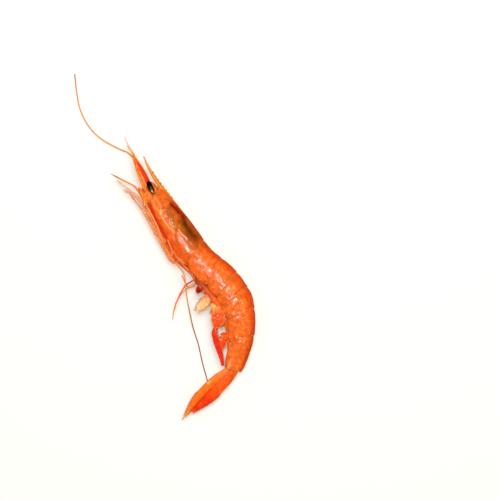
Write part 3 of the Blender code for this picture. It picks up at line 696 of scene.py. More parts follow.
# %% Sizes of the beak and its teeth
BEAK_STATIONS = (-21.6, -17.2, -12.4, -7.5, -3.4, 1.0, 8.0, 14.0)
BEAK_LINE = (6.7, 5.9, 5.55, 5.45, 5.6, 5.9, 6.4, 7.0)
BEAK_DEPTH = (0.2, 0.55, 0.8, 1.0, 1.15, 1.35, 1.5, 1.3)
BEAK_THICK = (0.15, 0.35, 0.5, 0.65, 0.8, 0.9, 0.7, 0.3)
TEETH = 8
TOOTH_PITCH = 2.3
TOOTH_HEIGHT = 0.5
TOOTH_FACE = 0.2
TOOTH_FOOT = 1.3
LAST_TOOTH = 4.0
BEAK_ROWS = 520
BEAK_SIDES = 20


def saw(s):
    """Height of the teeth: falls behind each tip, and rises over the face before the next."""
    behind_tip = np.mod(s - LAST_TOOTH, TOOTH_PITCH)
    slope = np.clip(1 - behind_tip / TOOTH_FOOT, 0.0, 1.0) ** 1.3
    face = np.clip(1 - (TOOTH_PITCH - behind_tip) / TOOTH_FACE, 0.0, 1.0)
    first = LAST_TOOTH - TEETH * TOOTH_PITCH + TOOTH_PITCH
    toothed = (s > first - TOOTH_FACE) & (s < LAST_TOOTH + TOOTH_FOOT)
    return TOOTH_HEIGHT * np.maximum(slope, face) * toothed


print(TEETH, "teeth, the last at", LAST_TOOTH, "mm")

# %% Make the beak
s = np.linspace(BEAK_STATIONS[0], BEAK_STATIONS[-1], BEAK_ROWS)[:, None]
turn = np.arange(BEAK_SIDES) * 2 * np.pi / BEAK_SIDES
middle, depth, thick = (smooth(s, BEAK_STATIONS, sizes)
                        for sizes in (BEAK_LINE, BEAK_DEPTH, BEAK_THICK))
crest = bell(turn, 0.0, 0.7) + bell(turn, 2 * np.pi, 0.7)
d = middle + depth * np.cos(turn) + saw(s) * crest
w = thick * np.sin(turn) * (0.75 + 0.35 * bell(np.cos(turn), 0.0, 0.3))
where = np.stack([s + 0 * w, d, w], axis=-1)
paint = layered(plain("#e89a2c", where), (
    ("#c87a14", step(d - middle, 0.2, 0.8)),
    ("#f0b060", 0.8 * bell(d, middle, 0.25) * step(-s, -2.0, 6.0)),
    ("#f08a30", step(s + 0 * w, -7.0, 4.0)),
    ("#5a3420", 0.85 * step(-s + 0 * w, 19.5, 21.2)),
))
place_skins("carapace_beak", [skin(on_body(where), where, paint)], BLADE_CHITIN, "carapace",
            slot="shell")

# %% [markdown]
# ## Limbs, blades and whiskers
#
# All the rest is two kinds of shape. Legs and whiskers are tubes: rings round a path, with a
# radius that swells at each joint. Scales, swimming legs and the tail fan are blades: a lens
# section along a path, with ribs. The right side repeats the left with w turned over.


# %% Paths
SIDES = {"left": 1, "right": -1}
FLOOR_GAP = 0.02


def on_side(route, turned):
    """A route of the left side on either side: w turns over on the right."""
    return [(s, d, turned * w) for s, d, w in route]


def length_along(path):
    """The length along a path up to each of its points: the running sum of its steps."""
    return np.concatenate([[0.0], np.cumsum(np.linalg.norm(np.diff(path, axis=0), axis=1))])


def through(route, count):
    """Even points on a smooth curve through a route."""
    route = np.asarray(route, float)
    reach = length_along(route)
    at = np.linspace(0.0, reach[-1], count)
    return np.stack([smooth(at, reach, route[:, axis]) for axis in range(3)], axis=-1)


print("halfway along a path from 0 to 1:", through([(0, 0, 0), (1, 0, 0)], 3)[1])


# %% Tubes
def unit(vectors):
    """Vectors of length one."""
    return vectors / np.maximum(np.linalg.norm(vectors, axis=-1, keepdims=True), 1e-9)


def tube(path, radius, sides, flat=1.0):
    """Rings round a path: radius times cos across it, and sin times flat square to that."""
    ahead = unit(np.gradient(path, axis=0))
    across = unit(np.cross(ahead, (0.0, 0.0, 1.0)))[:, None]
    over = np.cross(across[:, 0], ahead)[:, None]
    turn = (np.arange(sides) * 2 * np.pi / sides)[:, None]
    radius = np.asarray(radius)[:, None, None]
    return path[:, None] + radius * (np.cos(turn) * across + flat * np.sin(turn) * over)


def tube_places(path, grid):
    """Pattern places on a tube: the length along it, and the place on its round section."""
    along = length_along(path)[:, None] + np.zeros(grid.shape[1])
    turn = np.arange(grid.shape[1]) * 2 * np.pi / grid.shape[1]
    radius = np.linalg.norm(grid - path[:, None], axis=-1)
    return np.stack([along, radius * np.cos(turn), radius * np.sin(turn)], axis=-1)


ring = tube(np.array([(0.0, 0.0, 0.0), (1.0, 0.0, 0.0)]), (0.5, 0.5), 8)[0]
print("a ring of radius 0.5 is", round(np.ptp(ring[:, 1]), 2), "mm wide")


# %% Blades
def blade(onto, route, half_width, half_thick, tilt, rows, sides, ribs=None):
    """A lens section along a route: half width times cos, half thickness times sin, plus ribs.

    Gives the grid in the frame, the grid in the route's own measure, how far across from minus
    one to one, and how far along from nought to one.
    """
    path = through(route, rows)
    even = np.linspace(0.0, 1.0, rows)
    wide = smooth(even, np.linspace(0.0, 1.0, len(half_width)), half_width)[:, None]
    thick = smooth(even, np.linspace(0.0, 1.0, len(half_thick)), half_thick)[:, None]
    ahead = unit(np.gradient(path, axis=0))
    face = np.array((0.0, math.sin(math.radians(tilt)), math.cos(math.radians(tilt))))
    across = unit(np.cross(face, ahead))
    turn = np.arange(sides) * 2 * np.pi / sides
    side = np.cos(turn) + 0 * even[:, None]
    part = even[:, None] + 0 * turn
    up = thick * np.sin(turn)
    if ribs is not None:
        up = up + np.sign(np.sin(turn)) * np.abs(np.sin(turn)) ** 0.5 * ribs(side, part)
    local = path[:, None] + (wide * side)[..., None] * across[:, None] + up[..., None] * face
    return onto(local), local, side, part


print("fine pieces stay", FLOOR_GAP, "mm above the floor")


# %% Hair
def bristles(roots, tips, radius, paint="#f2c8a0"):
    """Hairs from roots to tips: thin straight tubes of three sides that taper."""
    roots = np.asarray(roots, float)
    reach = np.asarray(tips, float) - roots
    t = np.linspace(0.0, 1.0, 5)[None, :, None]
    middle = roots[:, None] + reach[:, None] * t
    ahead = unit(reach)
    across = unit(np.cross(ahead, (0.13, 0.21, 1.0)))
    over = np.cross(ahead, across)
    turn = np.arange(3) * 2 * np.pi / 3
    ring = np.cos(turn)[:, None] * across[:, None] + np.sin(turn)[:, None] * over[:, None]
    size = radius * (1.0 - 0.85 * t)
    grid = middle[:, :, None] + size[..., None] * ring[:, None]
    grid[..., 2] = np.maximum(grid[..., 2], FLOOR_GAP)
    one = skin(grid[0])
    ends = grid[:, (0, -1)].mean(axis=2)
    points = np.concatenate([grid.reshape(len(grid), -1, 3), ends], axis=1)
    count = points.shape[1]
    start = (np.arange(len(grid)) * count)[:, None, None]
    points = points.reshape(-1, 3)
    colour = np.broadcast_to(linear(paint), points.shape)
    return points, (one[1] + start).reshape(-1, 4), (one[2] + start).reshape(-1, 3), points, colour


print("a hair has", len(bristles([(0, 0, 5)], [(1, 0, 5)], 0.03)[1]), "quads")

# %% [markdown]
# ### Eyes
#
# The eye is a bean of black cornea, cut off behind by a fold of the orange stalk. Under its
# clear film the front is nearly black and the rear end turns to brown and then a milky pink,
# partly a painted highlight, with a small near white painted highlight near the rear.

# %% Sizes of the eyes, and their bean shape
EYE_MIDDLE = (-5.4, 1.45, 5.15)
EYE_HALF_LENGTH = 3.6
EYE_HALF_WIDTH = 1.75
EYE_BEND = 0.25
EYE_SKEW = 0.3
# Route of a small near white painted highlight near the eye's rear end.
EYE_PAINTED_HIGHLIGHT = ((-3.7, 0.9), (-2.9, 0.8))
STALK_ROUTE = ((-3.7, 3.6, 1.4), (-4.0, 3.4, 3.0), (-4.8, 2.2, 4.6))
STALK_RADIUS = 0.8
STALK_GRID = 24
CUP_MIDDLE = (-4.9, 2.3, 4.45)
CUP_HALF_LENGTH = 3.0
CUP_HALF_WIDTH = 1.75


def bean(middle, half_length, half_width, turned, rows=56, sides=48):
    """Rings of a bean: along cos of even angles, wide as sin to the power 0.9, a little bent."""
    s, d, w = middle
    even = np.cos(np.linspace(np.pi - 0.06, 0.06, rows))
    bent = d - EYE_BEND * (1 - even ** 2) - EYE_SKEW * even
    path = np.stack([s + half_length * even, bent, 0 * even + turned * w], axis=-1)
    size = (half_width * np.sqrt(1 - even ** 2) ** 0.9)[:, None, None]
    turn = np.arange(sides) * 2 * np.pi / sides
    ring = np.stack([0 * turn, np.cos(turn), np.sin(turn)], axis=-1)
    return path[:, None] + size * ring, even


print("an eye is", 2 * EYE_HALF_LENGTH, "mm long")

# %% Make the eyes
for word, turned in SIDES.items():
    eye = f"eye_{word}"
    local, even = bean(EYE_MIDDLE, EYE_HALF_LENGTH, EYE_HALF_WIDTH, turned)
    s, d = local[..., 0], local[..., 1]
    above = d - EYE_MIDDLE[1]
    edge = even[:, None] + 0.25 * above + 0.08 * waves(s, d, 1.6, 60)
    paint = layered(plain("#140804", local), (
        ("#401a08", step(edge, -0.2, 0.25)),
        # Milky pink towards the rear end: partly the eye's own colour, partly a painted highlight.
        ("#b87868", step(edge, 0.75, 1.0)),
        # Painted highlight: a near white spot near the rear end.
        ("#ffeae4", 0.95 * stroke(s, d, EYE_PAINTED_HIGHLIGHT, 0.32)),
        ("#7a3a14", 0.7 * bell(above, -1.6, 0.5)),
    ))
    place_skins(f"{eye}_cornea", [skin(on_body(local), local, paint)], EYE_CORNEA, eye, slot="eye")
    cup, _ = bean(CUP_MIDDLE, CUP_HALF_LENGTH, CUP_HALF_WIDTH, turned)
    s, d = cup[..., 0], cup[..., 1]
    paint = mixed(plain("#e8702c", cup), "#f6b088",
                  0.6 * bell(s, -2.6, 1.2) + 0.3 * waves(s, d, 1.2, 61))
    stalk_path = on_body(through(on_side(STALK_ROUTE, turned), STALK_GRID))
    stalk = tube(stalk_path, np.full(STALK_GRID, STALK_RADIUS), STALK_GRID)
    place_skins(f"{eye}_stalk", [skin(on_body(cup), cup, paint), skin(stalk, None, "#e4682c")],
                CHITIN, eye, slot="shell")

# %% [markdown]
# ### The soft front of the head
#
# Between the shield and the eyes lies soft orange flesh, and from it grow the stout first joints
# of the whiskers and blades. They are fat barrels, so tubes with a belly in the middle do well.

# %% Make the soft front and the first joints
HEAD_FLESH = ((3.0, 0.3, 0.0), (-0.5, 0.3, 0.0), (-4.0, 0.5, 0.0), (-7.0, 0.9, 0.0))
HEAD_FLESH_RADIUS = (3.2, 3.9, 2.9, 1.2)
# Route and radii of each joint.
FIRST_JOINTS = (
    (((0.8, -2.0, 2.3), (-2.0, -2.0, 2.9), (-5.4, -1.3, 2.9)), (1.6, 2.1, 1.3)),
    (((0.6, -4.2, 2.4), (-2.6, -4.1, 3.0), (-5.8, -3.9, 3.3)), (1.0, 1.6, 1.0)),
)
WRINKLE = 0.05


def barrel(route, radii, rows=60, sides=48):
    """A tube along a route whose radius follows a smooth curve, a little wrinkled across."""
    path = through(on_body(route), rows)
    even = np.linspace(0.0, 1.0, rows)
    radius = smooth(even, np.linspace(0.0, 1.0, len(radii)), radii)
    radius = radius + WRINKLE * np.sin(even * rows * 0.9)
    closing = np.minimum(1.0, 4.0 * np.sin(np.pi * (0.02 + 0.96 * even)))
    grid = tube(path, radius * closing, sides)
    return grid, tube_places(path, grid)


for word, turned in SIDES.items():
    skins = []
    for route, radii in FIRST_JOINTS:
        grid, where = barrel(on_side(route, turned), radii)
        paint = mixed(plain("#ee7026", grid), "#f8a060",
                      patches(where[..., 0], where[..., 1], 1.6, 62))
        skins.append(skin(grid, where, paint))
    place_skins(f"antenna_{word}_first_joints", skins, CHITIN, slot="feeler")
grid, where = barrel(HEAD_FLESH, HEAD_FLESH_RADIUS, 80, 72)
paint = mixed(plain("#e8641e", grid), "#f49a58", patches(grid[..., 0], grid[..., 1], 1.8, 63))
place_skins("carapace_soft_front", [skin(grid, where, paint)], CHITIN, slot="shell")

# %% [markdown]
# ### The blades beside the whiskers
#
# Each is a long leaf with a stiff outer rib that ends in a spine, and a thin inner half with a
# hair fringe. The upper edge is dark red and the lower half golden.

# %% Make the blades beside the whiskers
SCALE_ROUTE = ((-3.2, -1.3, 2.7), (-9.0, 0.0, 3.1), (-16.0, 1.1, 3.6), (-24.6, 2.3, 4.0))
SCALE_HALF_WIDTH = (1.0, 2.35, 2.2, 1.5, 0.3)
SCALE_HALF_THICK = (0.45, 0.45, 0.4, 0.3, 0.15)
SCALE_TILT = 14.0
SCALE_GRID = (150, 72)
SCALE_HAIRS = 120
SCALE_HAIR_ROWS = (30, 146)


def scale_ribs(side, part):
    """A stiff rib near the outer edge, a lower one in the middle, and fine lines between them."""
    rib = 0.22 * bell(side, 0.62, 0.10) + 0.10 * bell(side, 0.05, 0.12)
    return (rib + 0.03 * np.sin(26.0 * side)) * (1 - step(part, 0.85, 1.0))


for word, turned in SIDES.items():
    name = f"antennal_scale_{word}"
    route = on_side(SCALE_ROUTE, turned)
    grid, local, side, part = blade(on_body, route, SCALE_HALF_WIDTH, SCALE_HALF_THICK,
                                    turned * SCALE_TILT, *SCALE_GRID, scale_ribs)
    lean = local[..., 1] - np.interp(local[..., 0], *np.array(route)[::-1, :2].T)
    paint = layered(plain("#f06a1e", local), (
        ("#e62c0c", 0.8 * step(lean, -0.6, 0.9)),
        ("#c02408", 0.6 * step(lean, 1.3, 2.1)),
        ("#f2a040", 0.85 * step(-lean, 0.5, 1.7)),
        ("#f08a2c", 0.8 * step(part, 0.78, 0.95)),
        ("#f88a48", 0.5 * bell(lean, 0.2, 0.25) * step(part, 0.1, 0.3)),
    ))
    place_skins(f"{name}_blade", [skin(grid, local, paint)], BLADE_CHITIN, name, slot="head_blade")
    rows = np.linspace(*SCALE_HAIR_ROWS, SCALE_HAIRS).astype(int)
    edge = grid[:, SCALE_GRID[1] // 2]
    out = unit(edge[rows] - grid[rows].mean(axis=1))
    ahead = unit(np.gradient(edge, axis=0))[rows]
    roots = edge[rows] - 0.05 * out
    hairs = bristles(roots, roots + 0.9 * unit(out + 1.4 * ahead), 0.035, paint="#f4b070")
    place_skins(f"{name}_fringe", [hairs], BRISTLE, slot="head_blade")

# %% [markdown]
# ### Small and long whiskers
#
# The small whiskers stand on a stem of three stout joints and split in two. The long ones have
# a fleshy root of four joints, and then hundreds of horny rings that get thinner and darker.
# One ring is about half a millimetre long, narrow at its base and flared at its lip.

# %% Make the small whiskers
ANTENNULE = (
    (-3.9, 1.0, 0.95), (-10.7, 1.0, 1.0), (-19.0, 2.2, 1.3), (-25.5, 2.7, 1.5),
    (-30.4, 2.7, 1.2), (-35.6, 3.2, 0.8),
)
ANTENNULE_RADIUS = (0.75, 0.75, 0.5, 0.35, 0.22, 0.12)
STEM_SHARE = 0.45
STEM_JOINTS = (0.16, 0.30, STEM_SHARE - 0.01)
STEM_SIDES = 22
RING_PITCH = 0.5
# Which way each lash parts, how far it reaches, and its colour.
LASHES = ((1, 1.0, "#e8a020"), (-1, 0.86, "#f0a830"))
LASH_ROWS = 420
LASH_SIDES = 12


def rings_on(reach, depth):
    """A saw wave along the reach: each ring widens to its lip and starts narrow again."""
    return depth * (np.mod(reach, RING_PITCH) / RING_PITCH - 0.5)


for word, turned in SIDES.items():
    path = through(on_body(on_side(ANTENNULE, turned)), LASH_ROWS)
    even = np.linspace(0.0, 1.0, LASH_ROWS)
    radius = smooth(even, np.linspace(0.0, 1.0, len(ANTENNULE_RADIUS)), ANTENNULE_RADIUS)
    stem = even < STEM_SHARE
    joints = sum(bell(even, at, 0.008) for at in STEM_JOINTS)
    swell = radius * (1 + 0.10 * np.sin(even / STEM_SHARE * 3 * np.pi) ** 2 - 0.25 * joints)
    stem_grid = tube(path[stem], swell[stem], STEM_SIDES, 0.85)
    reach = length_along(path)
    spread = 0.55 * step(even, STEM_SHARE - 0.04, 0.8) + 0.16
    aside = unit(np.cross(np.gradient(path, axis=0), (0.0, 0.0, 1.0))) * spread[:, None]
    skins = [skin(stem_grid, tube_places(path[stem], stem_grid), "#e8822c")]
    for way, share, colour in LASHES:
        part = (even > STEM_SHARE - 0.03) & (even <= share)
        thin = 0.8 * radius[part] * (1 + rings_on(reach[part], 0.3))
        line = path[part] + way * aside[part] * 0.5
        lash = tube(line, thin, LASH_SIDES)
        skins.append(skin(lash, tube_places(line, lash), colour))
    name = f"antennule_{word}"
    place_skins(f"{name}_lashes", skins, WHISKER_HORN, name, slot="feeler")

# %% Make the long whiskers
ANTENNA_LEFT = (
    (-1.7, -3.9, 2.9), (-5.6, -3.9, 3.1), (-8.2, -4.0, 4.5), (-6.0, -4.3, 5.8), (-0.1, -5.4, 5.9),
    (5.8, -6.9, 5.6), (12.6, -7.8, 5.4), (20.6, -8.9, 5.2), (28.1, -9.9, 5.1), (33.6, -10.1, 5.0),
    (37.3, -10.2, 5.0), (40.6, -11.6, 5.0), (44.3, -15.0, 4.8), (49.1, -19.4, 3.0),
    (56.0, -22.6, 0.4), (64.7, -24.4, -2.4), (80.0, -24.8, -4.4), (96.0, -21.2, -4.0),
    (107.0, -15.9, -3.6), (112.1, -12.6, -3.9), (116.6, -9.6, -4.0),
)
ANTENNA_RIGHT = (
    (-1.7, -3.9, -2.9), (-5.6, -3.7, -4.6), (-11.3, -0.9, -5.4), (-18.4, 0.9, -5.2),
    (-23.7, 1.5, -5.2), (-28.0, 0.6, -5.4), (-31.3, -1.6, -5.5), (-36.3, -4.6, -5.7),
    (-41.7, -7.3, -5.8), (-47.7, -9.0, -6.0), (-54.1, -9.3, -6.1), (-61.0, -8.3, -6.2),
    (-69.0, -5.2, -6.2), (-78.0, -0.8, -6.2),
)
FEELER_RADIUS = (1.05, 0.5, 0.36, 0.27)
FEELER_STATIONS = (0.0, 9.0, 20.0, 110.0)
ROOT_JOINTS = (1.6, 3.6, 6.4, 9.0)
FEELER_ROW = 0.1
FEELER_MEASURE_ROWS = 400
FEELER_SIDES = 14

for name, route in (("antenna_left", ANTENNA_LEFT), ("antenna_right", ANTENNA_RIGHT)):
    length = length_along(through(on_body(route), FEELER_MEASURE_ROWS))[-1]
    path = through(on_body(route), int(length / FEELER_ROW))
    reach = length_along(path)
    radius = np.interp(reach, FEELER_STATIONS, FEELER_RADIUS)
    radius *= 1 - 0.22 * sum(bell(reach, at, 0.22) for at in ROOT_JOINTS)
    radius *= 1 + rings_on(reach, 0.16) * step(reach, 9.0, 10.0)
    grid = tube(path, radius, FEELER_SIDES)
    where = tube_places(path, grid)
    far = where[..., 0]
    paint = layered(plain("#ee7a34", grid), (
        ("#e4963c", step(far, 6.0, 14.0)),
        ("#8a4204", 0.85 * step(far, 60.0, 95.0)),
        ("#7c1600", 0.95 * step(far, 96.0, 126.0)),
    ))
    place_skins(f"{name}_rings", [skin(grid, where, paint)], WHISKER_HORN, name, slot="feeler")

# %% [markdown]
# ### Walking legs
#
# Each leg is a chain of thin clear tubes, waisted behind each knee and pinched at the joint
# itself, where only soft skin holds. The first three pairs end in a small pair of pincers and
# the last two in a plain claw. The mouth legs are hairier. They fold forward along the belly,
# so from above they make one band of pink and ochre lines.

# %% Routes of the legs
MAXILLIPED = (
    (9.0, -5.4, 0.75), (10.2, -6.6, 0.75), (8.2, -7.2, 0.75), (3.0, -6.5, 0.75),
    (-2.7, -4.8, 0.9), (-10.2, -5.3, 1.2), (-22.0, -12.2, 0.6),
)
LEG_1 = (
    (18.5, -6.3, 2.2), (22.5, -7.9, 2.9), (20.8, -8.5, 3.65), (12.9, -6.9, 3.65), (2.7, -5.7, 3.4),
    (-4.5, -6.5, 3.0), (-10.5, -8.8, 2.6), (-17.8, -11.5, 1.8),
)
LEG_2 = (
    (25.5, -7.3, 2.2), (29.8, -9.0, 2.3), (28.4, -10.1, 2.3), (19.7, -9.2, 2.2), (9.5, -7.8, 2.2),
    (0.6, -7.1, 2.15), (-5.8, -7.8, 2.0), (-11.8, -11.6, 1.4),
)
LEG_3 = (
    (30.5, -7.5, 1.4), (33.7, -9.2, 1.1), (32.4, -11.3, 0.75), (24.3, -10.5, 0.75),
    (16.6, -9.8, 0.75), (8.5, -8.9, 0.75), (0.9, -8.6, 0.75), (-5.0, -9.3, 0.7), (-10.8, -9.3, 0.6),
)
LEG_4 = (
    (33.6, -7.8, 2.6), (40.0, -7.8, 2.6), (45.0, -8.6, 2.8), (43.5, -14.4, 3.4), (44.7, -20.0, 2.8),
    (46.2, -24.9, 2.0), (48.2, -29.2, 1.2), (51.0, -32.3, 0.8),
)
LEG_4_RIGHT = (
    (33.6, -7.8, -2.6), (40.0, -7.8, -2.6), (46.4, -8.8, -2.8), (46.9, -12.2, -3.0),
    (45.0, -15.4, -3.2), (44.9, -20.0, -2.8), (46.2, -24.9, -2.2), (48.2, -28.6, -1.6),
)
LEG_5 = (
    (36.2, -7.5, 0.8), (42.0, -7.8, 0.8), (45.6, -8.8, 0.9), (45.9, -11.5, 1.0), (44.8, -14.6, 1.2),
    (42.9, -13.9, 1.3), (38.6, -12.0, 1.2),
)
RIGHT_SLIP = (-1.4, -0.6)


def mirrored(route, slip=(0.0, 0.0)):
    """The route on the right side, eased over its first two steps to a slip along s and d."""
    ease = [min(1.0, 0.5 * number) for number in range(len(route))]
    return [(s + part * slip[0], d + part * slip[1], -w) for part, (s, d, w) in zip(ease, route)]


print("the first leg is", round(length_along(on_body(LEG_1))[-1], 1), "mm long")

# %% A leg from its route
LEG_RADIUS = 0.55
CLAW_RADIUS = 0.25
CLAW_TIP = 0.5
KNEE_BLEND = 1.6
LENGTH_PROFILE = ((0.0, 1.12), (0.22, 0.92), (0.78, 1.0))
PINCER = 3.0
LEG_ROW = 0.12
LEG_SIDES = 18
JAW_SIDES = 12
JAWS = ((1, 0.34), (-1, 0.24))


def leg_skins(route, colours, pincers, hair, root, seed):
    """Skins of one leg: a tube whose radius follows each length's profile, pinched at the knees.

    The path is the mean of nine points of the straight chain round each place, which rounds the
    knees. Pincers are two thin tubes that part from the last length. Colours go from root to tip.
    """
    knees = on_body(route)
    reach = length_along(knees)
    length = reach[-1]
    part, swell = np.array(LENGTH_PROFILE).T
    stations = np.append((reach[:-1, None] + np.diff(reach)[:, None] * part).ravel(), length)
    swells = np.append(np.tile(swell, len(knees) - 1), CLAW_TIP)
    swells *= np.interp(np.arange(len(swells)), (0, 2), (root, 1.0))
    at = np.linspace(0.0, length, int(length / LEG_ROW))
    near = np.clip(at[:, None] + np.linspace(-0.5, 0.5, 9) * KNEE_BLEND, 0.0, length)
    path = np.stack([np.interp(near, reach, axis).mean(axis=1) for axis in knees.T], axis=-1)
    taper = LEG_RADIUS + (CLAW_RADIUS - LEG_RADIUS) * at / length
    radius = np.interp(at, stations, swells) * taper
    radius *= 1 - 0.24 * sum(bell(at, knee, 0.16) for knee in reach[1:-1])
    palette = np.array([linear(colour) for colour in colours])
    shares = np.linspace(0.0, length, len(colours))
    paint = np.stack([np.interp(at, shares, channel) for channel in palette.T], axis=-1)
    paint = mixed(paint, "#c8502a", 0.55 * sum(bell(at, knee, 0.35) for knee in reach[1:-1]))

    def painted_tube(line, size, sides, rows):
        grid = tube(line, size, sides)
        grid[..., 2] = np.maximum(grid[..., 2], FLOOR_GAP)
        return grid, np.broadcast_to(paint[rows][:, None], grid.shape)

    arm = at < length - PINCER * 0.85 if pincers else at <= length
    grid, colour = painted_tube(path[arm], radius[arm], LEG_SIDES, arm)
    skins = [skin(grid, tube_places(path[arm], grid), colour)]
    if pincers:
        jaw = at > length - PINCER
        out = unit(np.cross(np.gradient(path, axis=0), (0.0, 0.0, 1.0)))[jaw]
        t = np.linspace(0.0, 1.0, jaw.sum())[:, None]
        bow = np.sin(np.pi * np.clip(t * 0.75 + 0.1, 0, 1))
        for way, reach_out in JAWS:
            line = path[jaw] + way * out * (0.10 + reach_out * bow - 0.12 * t)
            thin = 0.6 * radius[jaw] * (1 - 0.6 * t[:, 0] ** 2)
            grid, colour = painted_tube(line, thin, JAW_SIDES, jaw)
            skins.append(skin(grid, None, colour))
    chance = np.random.default_rng(seed)
    spots = chance.integers(int(0.25 * len(at)), len(at) - 3, hair)
    ahead = unit(np.gradient(path, axis=0))[spots]
    out = unit(np.cross(ahead, chance.normal(size=(hair, 3))))
    roots = path[spots] + out * radius[spots][:, None] * 0.8
    tips = roots + unit(out + 1.3 * ahead) * chance.uniform(0.5, 1.1, (hair, 1))
    skins.append(bristles(roots, tips, 0.025, paint="#f0b48a"))
    return skins


print("a leg has a row every", LEG_ROW, "mm")

# %% Make the legs
STOUT_ROOT = 1.5
PINK = ("#f47e58", "#fa9474", "#fea88e", "#faac92", "#f4b094", "#ecbea0")
RED_PINK = ("#ee6a40", "#ee6a48", "#f07a5c", "#f08a6c", "#f09c7c", "#e8b090")
OCHRE = ("#f07a4c", "#f8a070", "#fcb890", "#f6b890", "#eeb488", "#c8a070")
GOLDEN = ("#f07a3c", "#f08a3c", "#f6a03c", "#f0a038", "#d89034", "#a07a40")
PALE_GOLD = ("#f08a50", "#f4a468", "#f6c08a", "#f8cc98", "#f0c494", "#e8c8a0")
RED_TO_GREY = ("#f08040", "#f08a58", "#b4482c", "#ee5a1c", "#f08a3c", "#b8b4a8")
THIN_PINK = ("#f08a60", "#f09470", "#f0a080", "#e88a78", "#e8a0a0")
# Route, colours from root to tip, pincers or claw, number of hairs, stoutness of the root.
LEGS = {
    "maxilliped_left": (MAXILLIPED, GOLDEN, False, 150, 1.0),
    "maxilliped_right": (mirrored(MAXILLIPED, RIGHT_SLIP), GOLDEN, False, 150, 1.0),
    "pereiopod_1_left": (LEG_1, PINK, True, 60, STOUT_ROOT),
    "pereiopod_1_right": (mirrored(LEG_1, RIGHT_SLIP), RED_PINK, True, 60, STOUT_ROOT),
    "pereiopod_2_left": (LEG_2, PINK, True, 50, STOUT_ROOT),
    "pereiopod_2_right": (mirrored(LEG_2, RIGHT_SLIP), OCHRE, True, 50, STOUT_ROOT),
    "pereiopod_3_left": (LEG_3, OCHRE, True, 50, STOUT_ROOT),
    "pereiopod_3_right": (mirrored(LEG_3, RIGHT_SLIP), OCHRE, True, 50, STOUT_ROOT),
    "pereiopod_4_left": (LEG_4, RED_TO_GREY, False, 30, STOUT_ROOT),
    "pereiopod_4_right": (LEG_4_RIGHT, PALE_GOLD, False, 30, STOUT_ROOT),
    "pereiopod_5_left": (LEG_5, THIN_PINK, False, 20, 1.0),
    "pereiopod_5_right": (mirrored(LEG_5), THIN_PINK, False, 20, 1.0),
}
for seed, (node, (route, colours, pincers, hair, root)) in enumerate(LEGS.items()):
    skins = leg_skins(route, colours, pincers, hair, root, seed)
    place_skins(f"{node}_joints", skins, LEG_CHITIN, node, slot="leg")

# %% [markdown]
# ### The soft skin of the belly
#
# Shield and hoops are open below. A soft, finely striped skin closes them from the mouth to the
# tail and carries the legs. It is red beside the walking legs, dark brown where the tail
# starts, and orange behind.

# %% Make the belly skin
BELLY_SKIN = (
    (0.5, -3.9, 1.0), (6.0, -5.1, 1.0), (12.0, -6.4, 1.0), (19.0, -7.6, 0.9), (26.0, -8.5, 0.8),
    (32.0, -8.5, 0.6), (37.0, -7.6, 0.5), (42.0, -7.0, 0.7), (47.5, -7.9, 1.2), (53.0, -8.5, 1.4),
    (60.0, -8.8, 1.2), (68.0, -8.2, 1.2), (76.0, -7.0, 1.0), (86.0, -5.8, 0.6),
    (97.0, -4.2, 0.0),
)
BELLY_SKIN_RADIUS = (1.0, 1.3, 1.4, 1.4, 1.4, 1.3, 1.4, 1.8, 2.3, 2.4, 2.3, 2.2, 2.0, 1.6, 1.0)
STRIPE_MM = 1.15
STRIPE_HEIGHT = 0.06
BELLY_GRID = (800, 40)
BELLY_GAP = 0.4

local = through(BELLY_SKIN, BELLY_GRID[0])
path = on_body(local)
radius = smooth(local[:, 0], np.array(BELLY_SKIN)[:, 0], BELLY_SKIN_RADIUS)
drift = 1.5 * waves(local[:, 0], 0.0, 4.0, 65)
stripe = 0.5 + 0.5 * np.sin(2 * np.pi * local[:, 0] / STRIPE_MM + drift)
grid = tube(path, radius + STRIPE_HEIGHT * stripe, BELLY_GRID[1])
grid[..., 2] = np.maximum(grid[..., 2], BELLY_GAP)
where = tube_places(path, grid)
s = local[:, :1] + 0 * where[..., 0]
paint = layered(plain("#ea4a22", grid), (
    ("#a03216", step(s, 37.0, 44.0)),
    ("#d84a18", step(s, 50.0, 55.0)),
    ("#f07430", step(s, 57.0, 63.0)),
    ("#f49a78", 0.35 * stripe[:, None] * (1 - step(s, 58.0, 64.0))),
))
place_skins("abdomen_belly_skin", [skin(grid, where, paint)], SWIM_SKIN, slot="swimming_leg")

# %% [markdown]
# ### Swimming legs
#
# A swimming leg is a stout stem with two soft paddles, fringed with long hair that spreads in
# water and clings when wet. The first is dark red and drawn up to a knob, the second is a pale
# clear lobe with a tan rim, and the next three lie back along the tail in deeper reds.

# %% Sizes and colours of the swimming legs
PLEOPODS = (
    ((49.6, -7.7, 2.0), (49.9, -9.9, 2.4), (50.5, -11.2, 3.1), (51.8, -12.2, 3.6)),
    ((57.0, -7.9, 2.0), (57.4, -10.6, 2.4), (59.4, -15.0, 3.0), (61.0, -19.6, 3.2)),
    ((63.8, -8.8, 2.0), (66.0, -11.0, 2.5), (71.5, -10.4, 4.9), (81.0, -12.4, 5.3)),
    ((72.2, -7.8, 2.0), (74.8, -10.8, 2.1), (84.0, -13.5, 3.3), (104.3, -5.6, 3.2)),
    ((87.0, -6.9, 1.8), (88.4, -9.6, 2.2), (91.8, -9.3, 2.4), (95.8, -9.3, 2.2)),
)
STEM_BREADTH = (1.5, 1.5, 1.45, 0.95, 1.35)
BRANCH_BREADTH = (1.25, 2.2, 2.0, 0.95, 1.4)
STEM_HALF_WIDTH = (1.5, 2.0, 1.7)
STEM_HALF_THICK = (0.7, 0.85, 0.8)
BRANCH_HALF_WIDTH = (0.9, 1.5, 1.6, 0.7)
BRANCH_HALF_THICK = (0.45, 0.4, 0.3, 0.12)
KNUCKLE = 0.22
